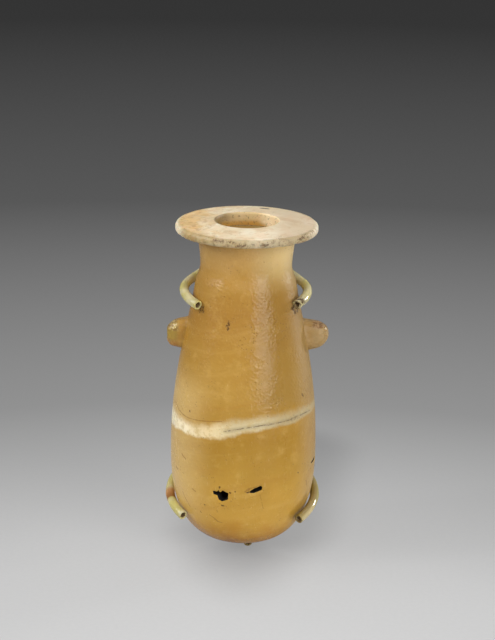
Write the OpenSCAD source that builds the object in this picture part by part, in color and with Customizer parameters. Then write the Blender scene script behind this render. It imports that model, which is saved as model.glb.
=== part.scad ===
// Stone alabastron with two lugs and a separate mouth disc, held by a rod display mount.
// The origin is on the post's axis at the deck's surface. The vessel stands in front of the post, at -Y.

/* [Vessel] */
// Height of the vessel, from the base to the top of the mouth disc
vessel_h = 181.6; // [170:0.2:190]
// Diameter of the belly
belly_d = 79.6; // [76:0.2:82]
// Height of the belly's widest point
belly_z = 52; // [46:1:58]
// How far the rounded base runs out nearly flat
base_spread = 19; // [12:1:24]
// How long the lower side stays nearly upright
side_reach = 48; // [40:1:50]
// Diameter where the shoulder meets the neck
shoulder_d = 54.3; // [52:0.1:56]
// Height where the shoulder meets the neck
shoulder_z = 148; // [146:1:150]
// How much the shoulder's radius shrinks per millimetre of height
shoulder_slope = 0.18; // [0.14:0.01:0.22]
// Smallest diameter of the neck
neck_d = 49.6; // [47:0.1:51]
// Height of the neck's smallest diameter
neck_z = 157; // [154:1:160]
// Diameter of the neck's top
neck_top_d = 52.2; // [50:0.1:56]
// Diameter of the neck's bore
neck_bore_d = 34.6; // [34.2:0.1:38]
// Thickness of the body's wall
wall = 6; // [4:0.5:8]
// Thickness of the base
base_t = 9; // [6:0.5:12]

/* [Lugs] */
// Height of the lugs' middle
lug_z = 118; // [114:1:120]
// Height of a lug
lug_h = 16; // [10:0.5:18]
// Width of a lug, round the body
lug_w = 10; // [6:0.5:12]
// Rounding of a lug's outer corners
lug_round = 4; // [2:0.5:5]
// Reach of the left lug from the vessel's axis
left_lug_reach = 42.5; // [40:0.1:46]
// Reach of the right lug from the vessel's axis
right_lug_reach = 45.4; // [40:0.1:46]

/* [Losses] */
// Height of the large loss low on the front
large_loss_z = 37; // [30:1:44]
// Bearing of the large loss, to the left of the front
large_loss_turn = 17.5; // [8:0.5:30]
// Width of the large loss
large_loss_w = 9; // [3:0.1:10]
// How tall the large loss is
large_loss_h = 6.6; // [3:0.1:10]
// Height of the slit on the front
slit_z = 41.3; // [34:0.1:48]
// Bearing of the slit on the front, to the right of the middle
slit_turn = 11; // [4:0.5:30]
// Length of the slit on the front
slit_l = 7.5; // [3:0.5:10]
// How wide the slit on the front is
slit_w = 3.2; // [1:0.1:4]
// Tilt of the slit on the front
slit_tilt = 13; // [0:1:40]
// Bearing of the slit at the side, to the right of the front
side_slit_turn = 78; // [60:1:84]
// Height of the slit at the side
side_slit_z = 48.5; // [40:0.5:60]
// Tilt of the slit at the side
side_slit_tilt = 0; // [0:5:70]
// Length of the slit at the side
side_slit_l = 9.5; // [3:0.5:11]
// How wide the slit at the side is
side_slit_w = 1.8; // [1:0.1:4]

/* [Mouth disc] */
// Diameter of the disc
disc_d = 77.2; // [70:0.2:82]
// Thickness of the disc at the mouth
disc_t = 7.4; // [6:0.1:9]
// Thickness of the disc at its edge
disc_edge_t = 4.8; // [3.5:0.1:6]
// How far the mouth stands above the disc's edge
disc_crown = 1.6; // [0:0.1:2.4]
// Diameter of the mouth
mouth_d = 34; // [30:0.2:34]
// Thickness of the cement between the neck and the disc
bedding_t = 0.4; // [0.3:0.1:1]

/* [Rods and tubing] */
// Diameter of the mount's rods
rod_d = 3.18; // [2.4:0.02:3.2]
// Outside diameter of the tubing
sleeve_d = 5.2; // [5:0.1:5.4]
// Radial clearance between a rod and its tubing, hole or socket
rod_clear = 0.05; // [0.02:0.01:0.1]
// Gap between the tubing and the stone
pad_gap = 0.35; // [0.3:0.05:0.6]

/* [Post] */
// Diameter of the post
post_d = 6.35; // [6:0.05:8]
// Gap between the post and the belly
post_gap = 1; // [0.8:0.1:3]
// Diameter of the plug
plug_d = 4.76; // [4:0.02:5.5]
// Length of the plug
plug_l = 12; // [8:1:20]
// Gap between the deck and the tubing under the base
deck_gap = 0.6; // [0.4:0.1:3]

/* [Upper prongs] */
// Height of the upper prongs at the vessel's sides, above the base
upper_z = 142.2; // [142:0.1:143]
// Lean of the upper prongs' plane, down towards the front
upper_lean = 10; // [9:0.5:11]
// Radius of the bend at the front of an upper prong
upper_front_r = 22.6; // [22.5:0.1:23]
// Radius of the bend at the back of an upper prong
upper_back_r = 4; // [3:0.5:6]
// Distance of the bends' centres from the middle plane
upper_half = 10.8; // [10.7:0.1:11.4]
// Angle of the rod's end, in front of the vessel's side
upper_rod_angle = 5; // [0:1:10]
// Angle in front of the vessel's side where the prong and its tubing straighten
upper_ease_angle = 15; // [12:1:16]
// Radius of the straighter stretch towards the tip
upper_tip_r = 38; // [37:1:42]
// Angle of the left tubing's tip
upper_left_tip = 39; // [25:1:40]
// Angle of the right tubing's tip
upper_right_tip = 34; // [25:1:40]
// Length of the tubing behind the front bend
upper_tail = 17; // [8:1:20]
// Distance of a socket from the middle plane
socket_x = 7; // [6.5:0.1:8]
// Diameter of the collar on a prong's pin
collar_d = 6; // [5:0.1:6.4]
// Height of the collar
collar_h = 5; // [4:0.1:7]
// Depth of a socket
socket_depth = 10; // [6:0.5:12]

/* [Lower clip] */
// Height of the lower clip at the vessel's sides, above the base
lower_z = 25.1; // [24.8:0.1:25.6]
// Lean of the lower clip's plane, down towards the front
lower_lean = 15; // [14:0.5:16]
// Radius of the bends at the front
lower_front_r = 20; // [19.8:0.1:20.6]
// Radius of the bends at the back
lower_back_r = 12; // [8:0.5:16]
// Radius of the bows round the vessel's back
lower_bow_r = 46; // [46:0.5:48]
// Angle behind the vessel's side where a bow runs out straight
lower_bow_angle = 56; // [50:1:58]
// Distance of the front bends' centres from the middle plane
lower_half = 19.9; // [19.7:0.1:20.6]
// Angle of the rod's ends, in front of the vessel's side
lower_rod_angle = 14; // [0:1:16]
// Angle in front of the vessel's side where the clip and its tubing straighten
lower_ease_angle = 9; // [6:1:10]
// Radius of the straighter stretches towards the tips
lower_tip_r = 46; // [45:1:50]
// Angle of the left tubing's tip
lower_left_tip = 34.5; // [20:0.5:36]
// Angle of the right tubing's tip
lower_right_tip = 37; // [20:0.5:38]
// Length of the tubing behind the front bend
lower_tail = 18; // [14:1:24]

/* [Bottom rest] */
// How far the rest's tip reaches in front of the vessel's axis
rest_reach = 1; // [-2:0.1:6]
// How far the rest's tip lies to the right of the vessel's axis
rest_side = 3.6; // [0:0.1:5]
// Length of the tubing on the rest
rest_sleeve_l = 24; // [15:1:28]
// Length of the tubing past the rest's rod
rest_overrun = 1.5; // [0.5:0.5:4]

/* [Hidden] */
$fn = 96;

stone_colour = [0.70, 0.53, 0.28];
disc_colour = [0.87, 0.80, 0.67];
cement_colour = [0.62, 0.56, 0.46];
brass_colour = [0.62, 0.45, 0.22];
tubing_colour = [0.90, 0.88, 0.66, 0.6];

// The vessel's place in front of the post, and its heights above its own base
post_back = belly_d / 2 + post_gap + post_d / 2;
base_z = deck_gap + sleeve_d + pad_gap;
disc_z = vessel_h - disc_t;
neck_top_z = disc_z - bedding_t;
disc_edge_z = vessel_h - disc_crown;
disc_edge_r = disc_edge_t / 2.4;
disc_seat_r = neck_top_d / 2 + 1;
bedding_inset = 0.5;

// How far back the roots are, and the distance that carries an upper prong's bend back to its root
clip_front_y = 0.5;
root_before_post = 4;
upper_root_y = post_back - root_before_post;
upper_span = (upper_root_y - clip_front_y) / cos(upper_lean) - upper_back_r;

// The lower clip's bow, and the straight that carries it to the back bend at the post
lower_root_y = (post_back - clip_front_y) / cos(lower_lean);
lower_leave = -3;
lower_bow_off = lower_front_r - lower_bow_r;
lower_bow_middle = [lower_half + lower_bow_off * cos(lower_leave), lower_bow_off * sin(lower_leave)];
lower_bow_end = lower_bow_middle + lower_bow_r * [cos(lower_bow_angle), sin(lower_bow_angle)];
lower_back_start_y = lower_root_y - lower_back_r * (1 - sin(lower_bow_angle));
lower_straight = (lower_back_start_y - lower_bow_end[1]) / cos(lower_bow_angle);
lower_back_x = lower_bow_end[0] - lower_straight * sin(lower_bow_angle) - lower_back_r * cos(lower_bow_angle);

// The head's block, with a socket on each side of the post
head_side = 2;
head_w = 2 * (socket_x + collar_d / 2 + head_side);
head_front = 5;
head_back = root_before_post + post_d / 2 + 2;
head_floor = 3;
head_h = socket_depth + head_floor;
collar_gap = 0.1;
head_top = -collar_h / 2 - collar_gap;
post_in_head = 9;
pin_end_gap = 0.2;
pin_l = collar_gap + socket_depth - pin_end_gap;

// Rods and tubing are swept with this many sides, in steps of so many degrees or millimetres round a bend
bar_sides = 16;
bend_step = 6;
bend_run = 2.6;

// How far cuts run past the faces that they open, and a pin into its collar
past = 0.5;

function bezier(p, steps) = [for (i = [0:steps]) let (t = i / steps, s = 1 - t)
    s * s * s * p[0] + 3 * s * s * t * p[1] + 3 * s * t * t * p[2] + t * t * t * p[3]];

// Outline of the side from the base's middle up to the neck's narrowest place, as [radius, height]
belly_r = belly_d / 2;
shoulder_r = shoulder_d / 2;
base_curve = bezier([[0, 0], [base_spread, 0], [belly_r, belly_z - side_reach], [belly_r, belly_z]], 16);
side_pull = 0.42 * (shoulder_z - belly_z);
side_curve = bezier([[belly_r, belly_z], [belly_r, belly_z + side_pull],
    [shoulder_r + shoulder_slope * side_pull, shoulder_z - side_pull], [shoulder_r, shoulder_z]], 18);
neck_pull = 0.37 * (neck_z - shoulder_z);
neck_curve = bezier([[shoulder_r, shoulder_z],
    [shoulder_r - shoulder_slope * neck_pull, shoulder_z + neck_pull], [neck_d / 2, neck_z - neck_pull],
    [neck_d / 2, neck_z]], 6);

// Outline of the cavity, drilled down the neck and opened out below the shoulder
cavity_r = belly_r - wall;
bore_r = neck_bore_d / 2;
cavity_low_z = belly_z - side_reach + base_t;
cavity_curve = concat(
    bezier([[0, base_t], [base_spread, base_t], [cavity_r, cavity_low_z], [cavity_r, belly_z]], 12),
    bezier([[cavity_r, belly_z], [cavity_r, belly_z + side_pull], [bore_r, shoulder_z - 0.6 * side_pull],
        [bore_r, shoulder_z]], 12));

function after_first(list) = [for (i = [1:len(list) - 1]) list[i]];

module at_vessel() { translate([0, -post_back, base_z]) children(); }

module solid_body() {
    rotate_extrude() polygon(concat(base_curve, after_first(side_curve), after_first(neck_curve),
        [[neck_top_d / 2, neck_top_z], [0, neck_top_z]]));
}

module cavity() {
    rotate_extrude() polygon(concat(cavity_curve, [[bore_r, vessel_h], [0, vessel_h]]));
}

// A solid lug with rounded outer corners that stands out along +X
module lug(reach) {
    root = reach - 1.5 * lug_h;
    translate([0, 0, lug_z]) rotate([90, 0, 0]) linear_extrude(lug_w, center = true) hull() {
        for (side = [-1, 1])
            translate([reach - lug_round, side * (lug_h / 2 - lug_round)]) circle(lug_round);
        translate([root, -lug_h / 2]) square([lug_round, lug_h]);
    }
}

// A loss through the wall at a bearing from the front, drawn in the wall's own plane
module loss(turn, z, tilt) {
    rotate(turn) translate([0, 0, z]) rotate([90, 0, 0]) translate([0, 0, cavity_r / 2])
        rotate(tilt) linear_extrude(belly_r) children();
}

module ragged_hole(w, h) {
    polygon([[-w / 2, h * 0.34], [-w * 0.23, h * 0.34], [-w * 0.14, h * 0.48], [-w * 0.02, h * 0.3],
        [w * 0.13, h * 0.5], [w / 2, h * 0.28], [w * 0.46, -h * 0.28], [w * 0.07, -h * 0.5],
        [-w * 0.14, -h * 0.38], [-w * 0.24, 0], [-w * 0.48, h * 0.06]]);
}

module slit_hole(l, w) {
    polygon([[-l / 2, -w * 0.3], [-l * 0.2, -w / 2], [l * 0.4, -w * 0.3], [l / 2, w * 0.15], [l * 0.38, w / 2],
        [-l * 0.15, w * 0.3], [-l * 0.46, w * 0.04]]);
}

module vessel_body() {
    color(stone_colour) at_vessel() difference() {
        union() {
            solid_body();
            lug(right_lug_reach);
            mirror([1, 0, 0]) lug(left_lug_reach);
        }
        cavity();
        loss(-large_loss_turn, large_loss_z, 0) ragged_hole(large_loss_w, large_loss_h);
        loss(slit_turn, slit_z, slit_tilt) slit_hole(slit_l, slit_w);
        loss(side_slit_turn, side_slit_z, side_slit_tilt) slit_hole(side_slit_l, side_slit_w);
    }
}

// The disc's edge is round above and below, its underside rises to the edge and its top to the mouth
module mouth_disc() {
    color(disc_colour) at_vessel() difference() {
        rotate_extrude() union() {
            polygon([[0, disc_z], [disc_seat_r, disc_z], [disc_d / 2 - disc_edge_r, disc_edge_z - disc_edge_t],
                [disc_d / 2 - disc_edge_r, disc_edge_z], [mouth_d / 2, vessel_h], [0, vessel_h]]);
            translate([disc_d / 2 - disc_edge_r, disc_edge_z - disc_edge_r]) circle(disc_edge_r);
            translate([disc_d / 2 - disc_edge_r, disc_edge_z - disc_edge_t + disc_edge_r]) circle(disc_edge_r);
            translate([disc_d / 2 - disc_edge_r, disc_edge_z - disc_edge_t + disc_edge_r])
                square([disc_edge_r, disc_edge_t - 2 * disc_edge_r]);
        }
        translate([0, 0, disc_z - past]) cylinder(h = disc_t + 2 * past, d = mouth_d);
    }
}

module mouth_bedding() {
    color(cement_colour) at_vessel() translate([0, 0, neck_top_z]) difference() {
        cylinder(h = bedding_t, d = neck_top_d - 2 * bedding_inset);
        translate([0, 0, -past]) cylinder(h = bedding_t + 2 * past, d = neck_bore_d);
    }
}

// Angle behind the side at which a rod leaves its front bend for the back bend
function leave_angle(front_r, back_r, span) = asin((front_r - back_r) / span);

// Stations along a bend, as [x, y, bearing of the bend's outer side]
function bend(centre, r, from, to) =
    let (steps = ceil(abs(to - from) / min(bend_step, bend_run / r * 180 / PI)))
    [for (i = [0:steps]) let (a = from + (to - from) * i / steps)
        [centre[0] + r * cos(a), centre[1] + r * sin(a), a]];

// A front bend on the +X side from its tip, straighter in front of the ease angle
function front_path(half, front_r, ease, tip_r, tip, leave) = let (off = front_r - tip_r)
    tip > ease ? concat(bend([half + off * cos(ease), -off * sin(ease)], tip_r, -tip, -ease),
        after_first(bend([half, 0], front_r, -ease, leave))) : bend([half, 0], front_r, -tip, leave);

// A prong's front bend, from its tip, and then its back bend
function prong_path(half, front_r, back_r, span, ease, tip_r, tip) =
    let (leave = leave_angle(front_r, back_r, span))
    concat(front_path(half, front_r, ease, tip_r, tip, leave), bend([half, span], back_r, leave, 90));

// The stations of a path in the other order, on the -X side
function other_side(path) = [for (i = [len(path) - 1:-1:0]) [-path[i][0], path[i][1], 180 - path[i][2]]];

// The front bend, with a tail along the straight behind it
function sleeve_path(half, front_r, back_r, span, ease, tip_r, tip, tail) =
    let (leave = leave_angle(front_r, back_r, span))
    concat(front_path(half, front_r, ease, tip_r, tip, leave),
        [[half + front_r * cos(leave) - tail * sin(leave), front_r * sin(leave) + tail * cos(leave), leave]]);

function ring(station, d) = [for (k = [0:bar_sides - 1]) let (b = 360 * k / bar_sides, out = d / 2 * cos(b))
    [station[0] + out * cos(station[2]), station[1] + out * sin(station[2]), d / 2 * sin(b)]];

function rings(path, d) = [for (station = path) each ring(station, d)];

// Side faces between neighbouring rings, the first of which starts at a given point
function sides_of(count, first) = [for (i = [0:count - 2], k = [0:bar_sides - 1])
    let (a = first + i * bar_sides, next = (k + 1) % bar_sides)
        [a + k, a + next, a + bar_sides + next, a + bar_sides + k]];

function flipped(faces) = [for (f = faces) [for (i = [len(f) - 1:-1:0]) f[i]]];

module bar(path, d) {
    last = (len(path) - 1) * bar_sides;
    caps = [[for (k = [bar_sides - 1:-1:0]) k], [for (k = [0:bar_sides - 1]) last + k]];
    polyhedron(rings(path, d), concat(sides_of(len(path), 0), caps));
}

// Tubing along a path, open at both ends
module tube(path, d, bore) {
    inner = len(path) * bar_sides;
    last = inner - bar_sides;
    ends = [for (k = [0:bar_sides - 1]) let (next = (k + 1) % bar_sides)
        each [[k, inner + k, inner + next, next],
            [last + next, inner + last + next, inner + last + k, last + k]]];
    polyhedron(concat(rings(path, d), rings(path, bore)),
        concat(sides_of(len(path), 0), flipped(sides_of(len(path), inner)), ends));
}

module at_upper() { at_vessel() translate([0, clip_front_y, upper_z]) rotate([upper_lean, 0, 0]) children(); }

module at_lower() { at_vessel() translate([0, clip_front_y, lower_z]) rotate([lower_lean, 0, 0]) children(); }

// The place of the upper prongs' roots, with the pins along -Z
module at_upper_root() { at_upper() translate([0, upper_span + upper_back_r, 0]) children(); }

// A prong whose root is held in a collar, with the pin that turns in the head below it
module upper_prong() {
    root = [socket_x, upper_span + upper_back_r, 90];
    at_upper() bar(concat(prong_path(upper_half, upper_front_r, upper_back_r, upper_span, upper_ease_angle,
        upper_tip_r, upper_rod_angle), [root]), rod_d);
    at_upper_root() translate([socket_x, 0, 0]) {
        cylinder(h = collar_h, d = collar_d, center = true);
        translate([0, 0, -collar_h / 2 - pin_l]) cylinder(h = pin_l + past, d = rod_d);
    }
}

module upper_sleeve(tip) {
    at_upper() tube(sleeve_path(upper_half, upper_front_r, upper_back_r, upper_span, upper_ease_angle,
        upper_tip_r, tip, upper_tail), sleeve_d, rod_d + 2 * rod_clear);
}

// The lower clip on the +X side, from a tip in front of the vessel's side round the bow to an angle behind it
function lower_path(tip, to) =
    concat(front_path(lower_half, lower_front_r, lower_ease_angle, lower_tip_r, tip, lower_leave),
        after_first(bend(lower_bow_middle, lower_bow_r, lower_leave, to)));

module lower_sleeve(tip) {
    end = lower_leave + lower_tail / lower_bow_r * 180 / PI;
    at_lower() tube(lower_path(tip, end), sleeve_d, rod_d + 2 * rod_clear);
}

module upper_right_prong() { color(brass_colour) upper_prong(); }

module upper_left_prong() { color(brass_colour) mirror([1, 0, 0]) upper_prong(); }

module upper_right_sleeve() { color(tubing_colour) upper_sleeve(upper_right_tip); }

module upper_left_sleeve() { color(tubing_colour) mirror([1, 0, 0]) upper_sleeve(upper_left_tip); }

module lower_right_sleeve() { color(tubing_colour) lower_sleeve(lower_right_tip); }

module lower_left_sleeve() { color(tubing_colour) mirror([1, 0, 0]) lower_sleeve(lower_left_tip); }

module lower_clip() {
    back = bend([lower_back_x, lower_root_y - lower_back_r], lower_back_r, lower_bow_angle, 90);
    right = concat(lower_path(lower_rod_angle, lower_bow_angle), back);
    color(brass_colour) at_lower() bar(concat(right, other_side(right)), rod_d);
}

// The hole through the post for the straight of the lower clip
module lower_cross_hole() {
    at_lower() translate([0, lower_root_y, 0]) rotate([0, 90, 0])
        cylinder(h = 3 * post_d, d = rod_d + 2 * rod_clear, center = true);
}

// The bottom rest runs from the post to its tip, a little aslant
rest_z = base_z - pad_gap - sleeve_d / 2;
rest_l = norm([rest_side, post_back + rest_reach]);
rest_turn = atan2(rest_side, post_back + rest_reach);
rest_stub = 1.5;
rest_behind = post_d / 2 + rest_stub;

module at_rest() { translate([0, 0, rest_z]) rotate(rest_turn) rotate([90, 0, 0]) children(); }

module bottom_rest() {
    color(brass_colour) at_rest() translate([0, 0, -rest_behind])
        cylinder(h = rest_behind + rest_l - rest_overrun, d = rod_d);
}

module bottom_sleeve() {
    color(tubing_colour) at_rest() translate([0, 0, rest_l - rest_sleeve_l]) difference() {
        cylinder(h = rest_sleeve_l, d = sleeve_d);
        translate([0, 0, -past]) cylinder(h = rest_sleeve_l + 2 * past, d = rod_d + 2 * rod_clear);
    }
}

// The post's top end stands in the head's block
head_place_z = base_z + upper_z + (upper_root_y - clip_front_y) * tan(upper_lean) + head_top - head_h;
post_top_z = head_place_z + post_in_head;

module post() {
    color(brass_colour) difference() {
        union() {
            cylinder(h = post_top_z, d = post_d);
            translate([0, 0, -plug_l]) cylinder(h = plug_l, d = plug_d);
        }
        lower_cross_hole();
        at_rest() cylinder(h = 3 * post_d, d = rod_d + 2 * rod_clear, center = true);
    }
}

module clip_head() {
    color(brass_colour) difference() {
        at_upper_root() translate([-head_w / 2, -head_front, head_top - head_h])
            cube([head_w, head_front + head_back, head_h]);
        for (side = [-1, 1])
            at_upper_root() translate([side * socket_x, 0, head_top - socket_depth])
                cylinder(h = socket_depth + past, d = rod_d + 2 * rod_clear);
        translate([0, 0, post_top_z - 3 * post_in_head])
            cylinder(h = 3 * post_in_head + pin_end_gap, d = post_d + 2 * rod_clear);
    }
}

vessel_body();
mouth_disc();
mouth_bedding();
post();
clip_head();
lower_clip();
lower_left_sleeve();
lower_right_sleeve();
bottom_rest();
bottom_sleeve();
upper_left_prong();
upper_left_sleeve();
upper_right_prong();
upper_right_sleeve();
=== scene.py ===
import math
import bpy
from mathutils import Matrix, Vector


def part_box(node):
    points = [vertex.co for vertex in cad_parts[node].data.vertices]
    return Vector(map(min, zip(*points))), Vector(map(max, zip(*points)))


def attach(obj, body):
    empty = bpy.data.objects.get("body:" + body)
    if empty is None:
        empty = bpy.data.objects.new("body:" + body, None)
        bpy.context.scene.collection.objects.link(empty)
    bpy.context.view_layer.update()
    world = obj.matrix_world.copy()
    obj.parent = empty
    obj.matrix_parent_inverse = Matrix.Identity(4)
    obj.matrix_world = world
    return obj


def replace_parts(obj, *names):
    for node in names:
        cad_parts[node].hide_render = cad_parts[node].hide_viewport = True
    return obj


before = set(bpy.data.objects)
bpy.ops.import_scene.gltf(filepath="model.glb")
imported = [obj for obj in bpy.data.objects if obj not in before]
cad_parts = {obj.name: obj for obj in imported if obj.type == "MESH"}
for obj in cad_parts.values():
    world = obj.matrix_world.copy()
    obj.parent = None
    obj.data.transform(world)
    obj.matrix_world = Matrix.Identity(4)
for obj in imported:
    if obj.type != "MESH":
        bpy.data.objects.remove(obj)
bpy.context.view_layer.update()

from types import SimpleNamespace

import bmesh
import bpy
from mathutils import Matrix, Quaternion, Vector, noise

# Sizes in millimetres, heights above the vessel's base and bearings in degrees to the right of the front

MM = 0.001
disc_low, disc_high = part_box("mouth_disc")
body_low, body_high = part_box("vessel_body")
post_low, post_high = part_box("post")
AXIS = Vector(((disc_low.x + disc_high.x) / 2, (disc_low.y + disc_high.y) / 2, body_low.z))
POST_BACK = -AXIS.y / MM

BELLY_R = (body_high.y - body_low.y) / 2 / MM
BELLY_Z = 52
BASE_SPREAD = 19
SIDE_REACH = 48
SHOULDER_R = 27.15
SHOULDER_Z = 148
SHOULDER_SLOPE = 0.18
NECK_R = 24.8
NECK_Z = 157
NECK_TOP_R = 26.1
NECK_TOP_Z = (body_high.z - body_low.z) / MM
BORE_R = 17.3
WALL = 6
BASE_T = 9
# How far the outline's curves are pulled: shares of their heights, and millimetres at the neck's top
SIDE_PULL = 0.42
NECK_PULL = 0.37
BORE_PULL = 0.6
NECK_TOP_PULL = 6

LUG_Z = 118
LUG_HALF_H = 8
LUG_HALF_W = 5.4
LEFT_LUG_REACH = (AXIS.x - body_low.x) / MM
RIGHT_LUG_REACH = (body_high.x - AXIS.x) / MM

DISC_R = (disc_high.x - disc_low.x) / 2 / MM
DISC_Z = (disc_low.z - body_low.z) / MM
VESSEL_H = (disc_high.z - body_low.z) / MM
DISC_EDGE_T = 4.8
DISC_CROWN = 1.6
DISC_SEAT_R = NECK_TOP_R + 1
MOUTH_R = 17

ROD_R = 1.59
SLEEVE_R = 2.6
SLEEVE_BORE_R = 1.64
CLIP_FRONT_Y = 0.5
COLLAR_R = 3
COLLAR_H = 5
PIN_L = 9.9
SOCKET_X = 7
ROOT_BEFORE_POST = 4
POST_R = (post_high.x - post_low.x) / 2 / MM
PLUG_R = 2.38
PLUG_L = -post_low.z / MM

# A clip's height and lean, its bends, the angles in front of the vessel's side where its rod ends, where
# it straightens and where its tubing ends at the left and right, the tubing's tail, and the clip's root
UPPER = {"z": 142.2, "lean": 10, "half": 10.8, "front_r": 22.6, "back_r": 4, "rod": 5, "ease": 15,
         "tip_r": 38, "tail": 17, "left": 39, "right": 34, "root": POST_BACK - ROOT_BEFORE_POST}
LOWER = {"z": 25.1, "lean": 15, "half": 19.9, "front_r": 20, "back_r": 12, "rod": 14, "ease": 9,
         "tip_r": 46, "tail": 18, "left": 34.5, "right": 37, "root": POST_BACK, "bow_r": 46, "bow": (-3, 56)}

PAD_GAP = 0.35
REST_Z = -PAD_GAP - SLEEVE_R
REST_SIDE = 3.6
REST_REACH = 1
REST_SLEEVE_L = 24
REST_OVERRUN = 1.5
REST_STUB = 1.5

# Photograph's frame and the camera that saw it
IMAGE_LONG_SIDE = 640
SENSOR = 36
FOCAL_PIXELS = 2759.3
CAMERA_ELEVATION = 16.48
CAMERA_ROLL = 1.0
CAMERA_DISTANCE = 1.5
CAMERA_TARGET = AXIS + Vector((1.2, 0, 125.3)) * MM

# Each lamp's bearing, elevation, distance and size in metres, and power in watts
LAMPS = {"left_softbox": (-82, 34, 2.2, (1.9, 1.3), 24), "left_spot": (-73, 28, 2.0, (0.3, 0.3), 7),
         "front_fill": (-10, 34, 2.6, (1.6, 1.2), 11.5), "right_softbox": (36, 20, 1.1, (0.64, 0.9), 8.6),
         "right_spot": (121, 14, 1.8, (0.3, 0.3), 8), "top_softbox": (170, 80, 2.0, (1.6, 1.6), 10)}
LAMP_AIM_Z = 90
WORLD_LIGHT = 0.22
FLOOR_HALF = 6.0
FLOOR_CELLS = 24


def blend01(low, high, value):
    """Runs smoothly from 0 at low to 1 at high."""
    t = min(1.0, max(0.0, (value - low) / (high - low)))
    return t * t * (3 - 2 * t)


def colour(red, green, blue):
    """A colour written as it is seen, from 0 to 255, as Blender's linear one."""
    def linear(level):
        level /= 255
        return level / 12.92 if level <= 0.04045 else ((level + 0.055) / 1.055) ** 2.4
    return linear(red), linear(green), linear(blue), 1.0


def bezier(a, b, c, d, steps):
    """Points along a curve in the plane of radius and height."""
    points = []
    for i in range(steps + 1):
        t = i / steps
        s = 1 - t
        weights = (s ** 3, 3 * s * s * t, 3 * s * t * t, t ** 3)
        points.append(tuple(sum(w * p[k] for w, p in zip(weights, (a, b, c, d))) for k in (0, 1)))
    return points


def walk(line, gap):
    """Points along a line, as far apart as gap gives for their height."""
    kept, run = [line[0]], 0.0
    for a, b in zip(line, line[1:]):
        run += math.dist(a, b)
        if run >= gap(b[1]):
            kept.append(b)
            run = 0.0
    if run > 0:
        kept.append(line[-1])
    return kept


def on_vessel(bearing, radius, height):
    """A point in millimetres from the vessel's base."""
    turn = math.radians(bearing)
    return Vector((radius * math.sin(turn), -radius * math.cos(turn), height))


# Meshes

def add_piece(name, verts, faces, body, slot, materials, origin=AXIS, sharp=50):
    """A piece from points in millimetres about an origin, smooth but for its sharp edges."""
    mesh = bpy.data.meshes.new(name)
    mesh.from_pydata([origin + v * MM for v in verts], [], faces)
    for material in materials:
        mesh.materials.append(material)
    shape = bmesh.new()
    shape.from_mesh(mesh)
    bmesh.ops.recalc_face_normals(shape, faces=shape.faces)
    shape.to_mesh(mesh)
    shape.free()
    mesh.shade_smooth()
    mesh.set_sharp_from_angle(angle=math.radians(sharp))
    piece = bpy.data.objects.new(name, mesh)
    bpy.context.scene.collection.objects.link(piece)
    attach(piece, body)
    return piece


def loops_to_faces(count, sides, closed):
    """Quads between neighbouring loops of points, and between the last and first if closed."""
    faces = []
    for i in range(count if closed else count - 1):
        a, b = i * sides, (i + 1) % count * sides
        for k in range(sides):
            n = (k + 1) % sides
            faces.append((a + k, a + n, b + n, b + k))
    if not closed:
        faces.append(tuple(range(sides)))
        faces.append(tuple(range((count - 1) * sides, count * sides)))
    return faces


# The vessel's body, with its lugs and losses

def side_line():
    """Outline of the outside from the base's middle to the neck's top, as (radius, height)."""
    pull = SIDE_PULL * (SHOULDER_Z - BELLY_Z)
    neck_pull = NECK_PULL * (NECK_Z - SHOULDER_Z)
    base = bezier((0, 0), (BASE_SPREAD, 0), (BELLY_R, BELLY_Z - SIDE_REACH), (BELLY_R, BELLY_Z), steps=600)
    side = bezier((BELLY_R, BELLY_Z), (BELLY_R, BELLY_Z + pull),
                  (SHOULDER_R + SHOULDER_SLOPE * pull, SHOULDER_Z - pull), (SHOULDER_R, SHOULDER_Z),
                  steps=900)
    neck = bezier((SHOULDER_R, SHOULDER_Z), (SHOULDER_R - SHOULDER_SLOPE * neck_pull, SHOULDER_Z + neck_pull),
                  (NECK_R, NECK_Z - neck_pull), (NECK_R, NECK_Z), steps=100)
    top = bezier((NECK_R, NECK_Z), (NECK_R, NECK_Z + NECK_TOP_PULL), (NECK_TOP_R, NECK_TOP_Z - NECK_TOP_PULL),
                 (NECK_TOP_R, NECK_TOP_Z), steps=120)
    return base + side[1:] + neck[1:] + top[1:]


def cavity_line():
    """Outline of the hollow from its floor up to the neck's top."""
    pull = SIDE_PULL * (SHOULDER_Z - BELLY_Z)
    r = BELLY_R - WALL
    floor = bezier((0, BASE_T), (BASE_SPREAD, BASE_T), (r, BELLY_Z - SIDE_REACH + BASE_T), (r, BELLY_Z),
                   steps=400)
    side = bezier((r, BELLY_Z), (r, BELLY_Z + pull), (BORE_R, SHOULDER_Z - BORE_PULL * pull),
                  (BORE_R, SHOULDER_Z), steps=500)
    return floor + side[1:] + [(BORE_R, SHOULDER_Z + 1), (BORE_R, NECK_TOP_Z)]


def radius_at(line, height):
    """Radius of an upright line at a height."""
    for a, b in zip(line, line[1:]):
        if a[1] <= height <= b[1] and b[1] > a[1]:
            return a[0] + (b[0] - a[0]) * (height - a[1]) / (b[1] - a[1])
    return line[-1][0]


def ragged(w, h):
    """Outline of a broken hole of a width and height."""
    return [(-w / 2, h * 0.34), (-w * 0.23, h * 0.34), (-w * 0.14, h * 0.48), (-w * 0.02, h * 0.3),
            (w * 0.13, h * 0.5), (w / 2, h * 0.28), (w * 0.46, -h * 0.28), (w * 0.07, -h * 0.5),
            (-w * 0.14, -h * 0.38), (-w * 0.24, 0), (-w * 0.48, h * 0.06)]


def slit(l, w):
    """Outline of a slit of a length and width."""
    return [(-l / 2, -w * 0.3), (-l * 0.2, -w / 2), (l * 0.4, -w * 0.3), (l / 2, w * 0.15), (l * 0.38, w / 2),
            (-l * 0.15, w * 0.3), (-l * 0.46, w * 0.04)]


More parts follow.
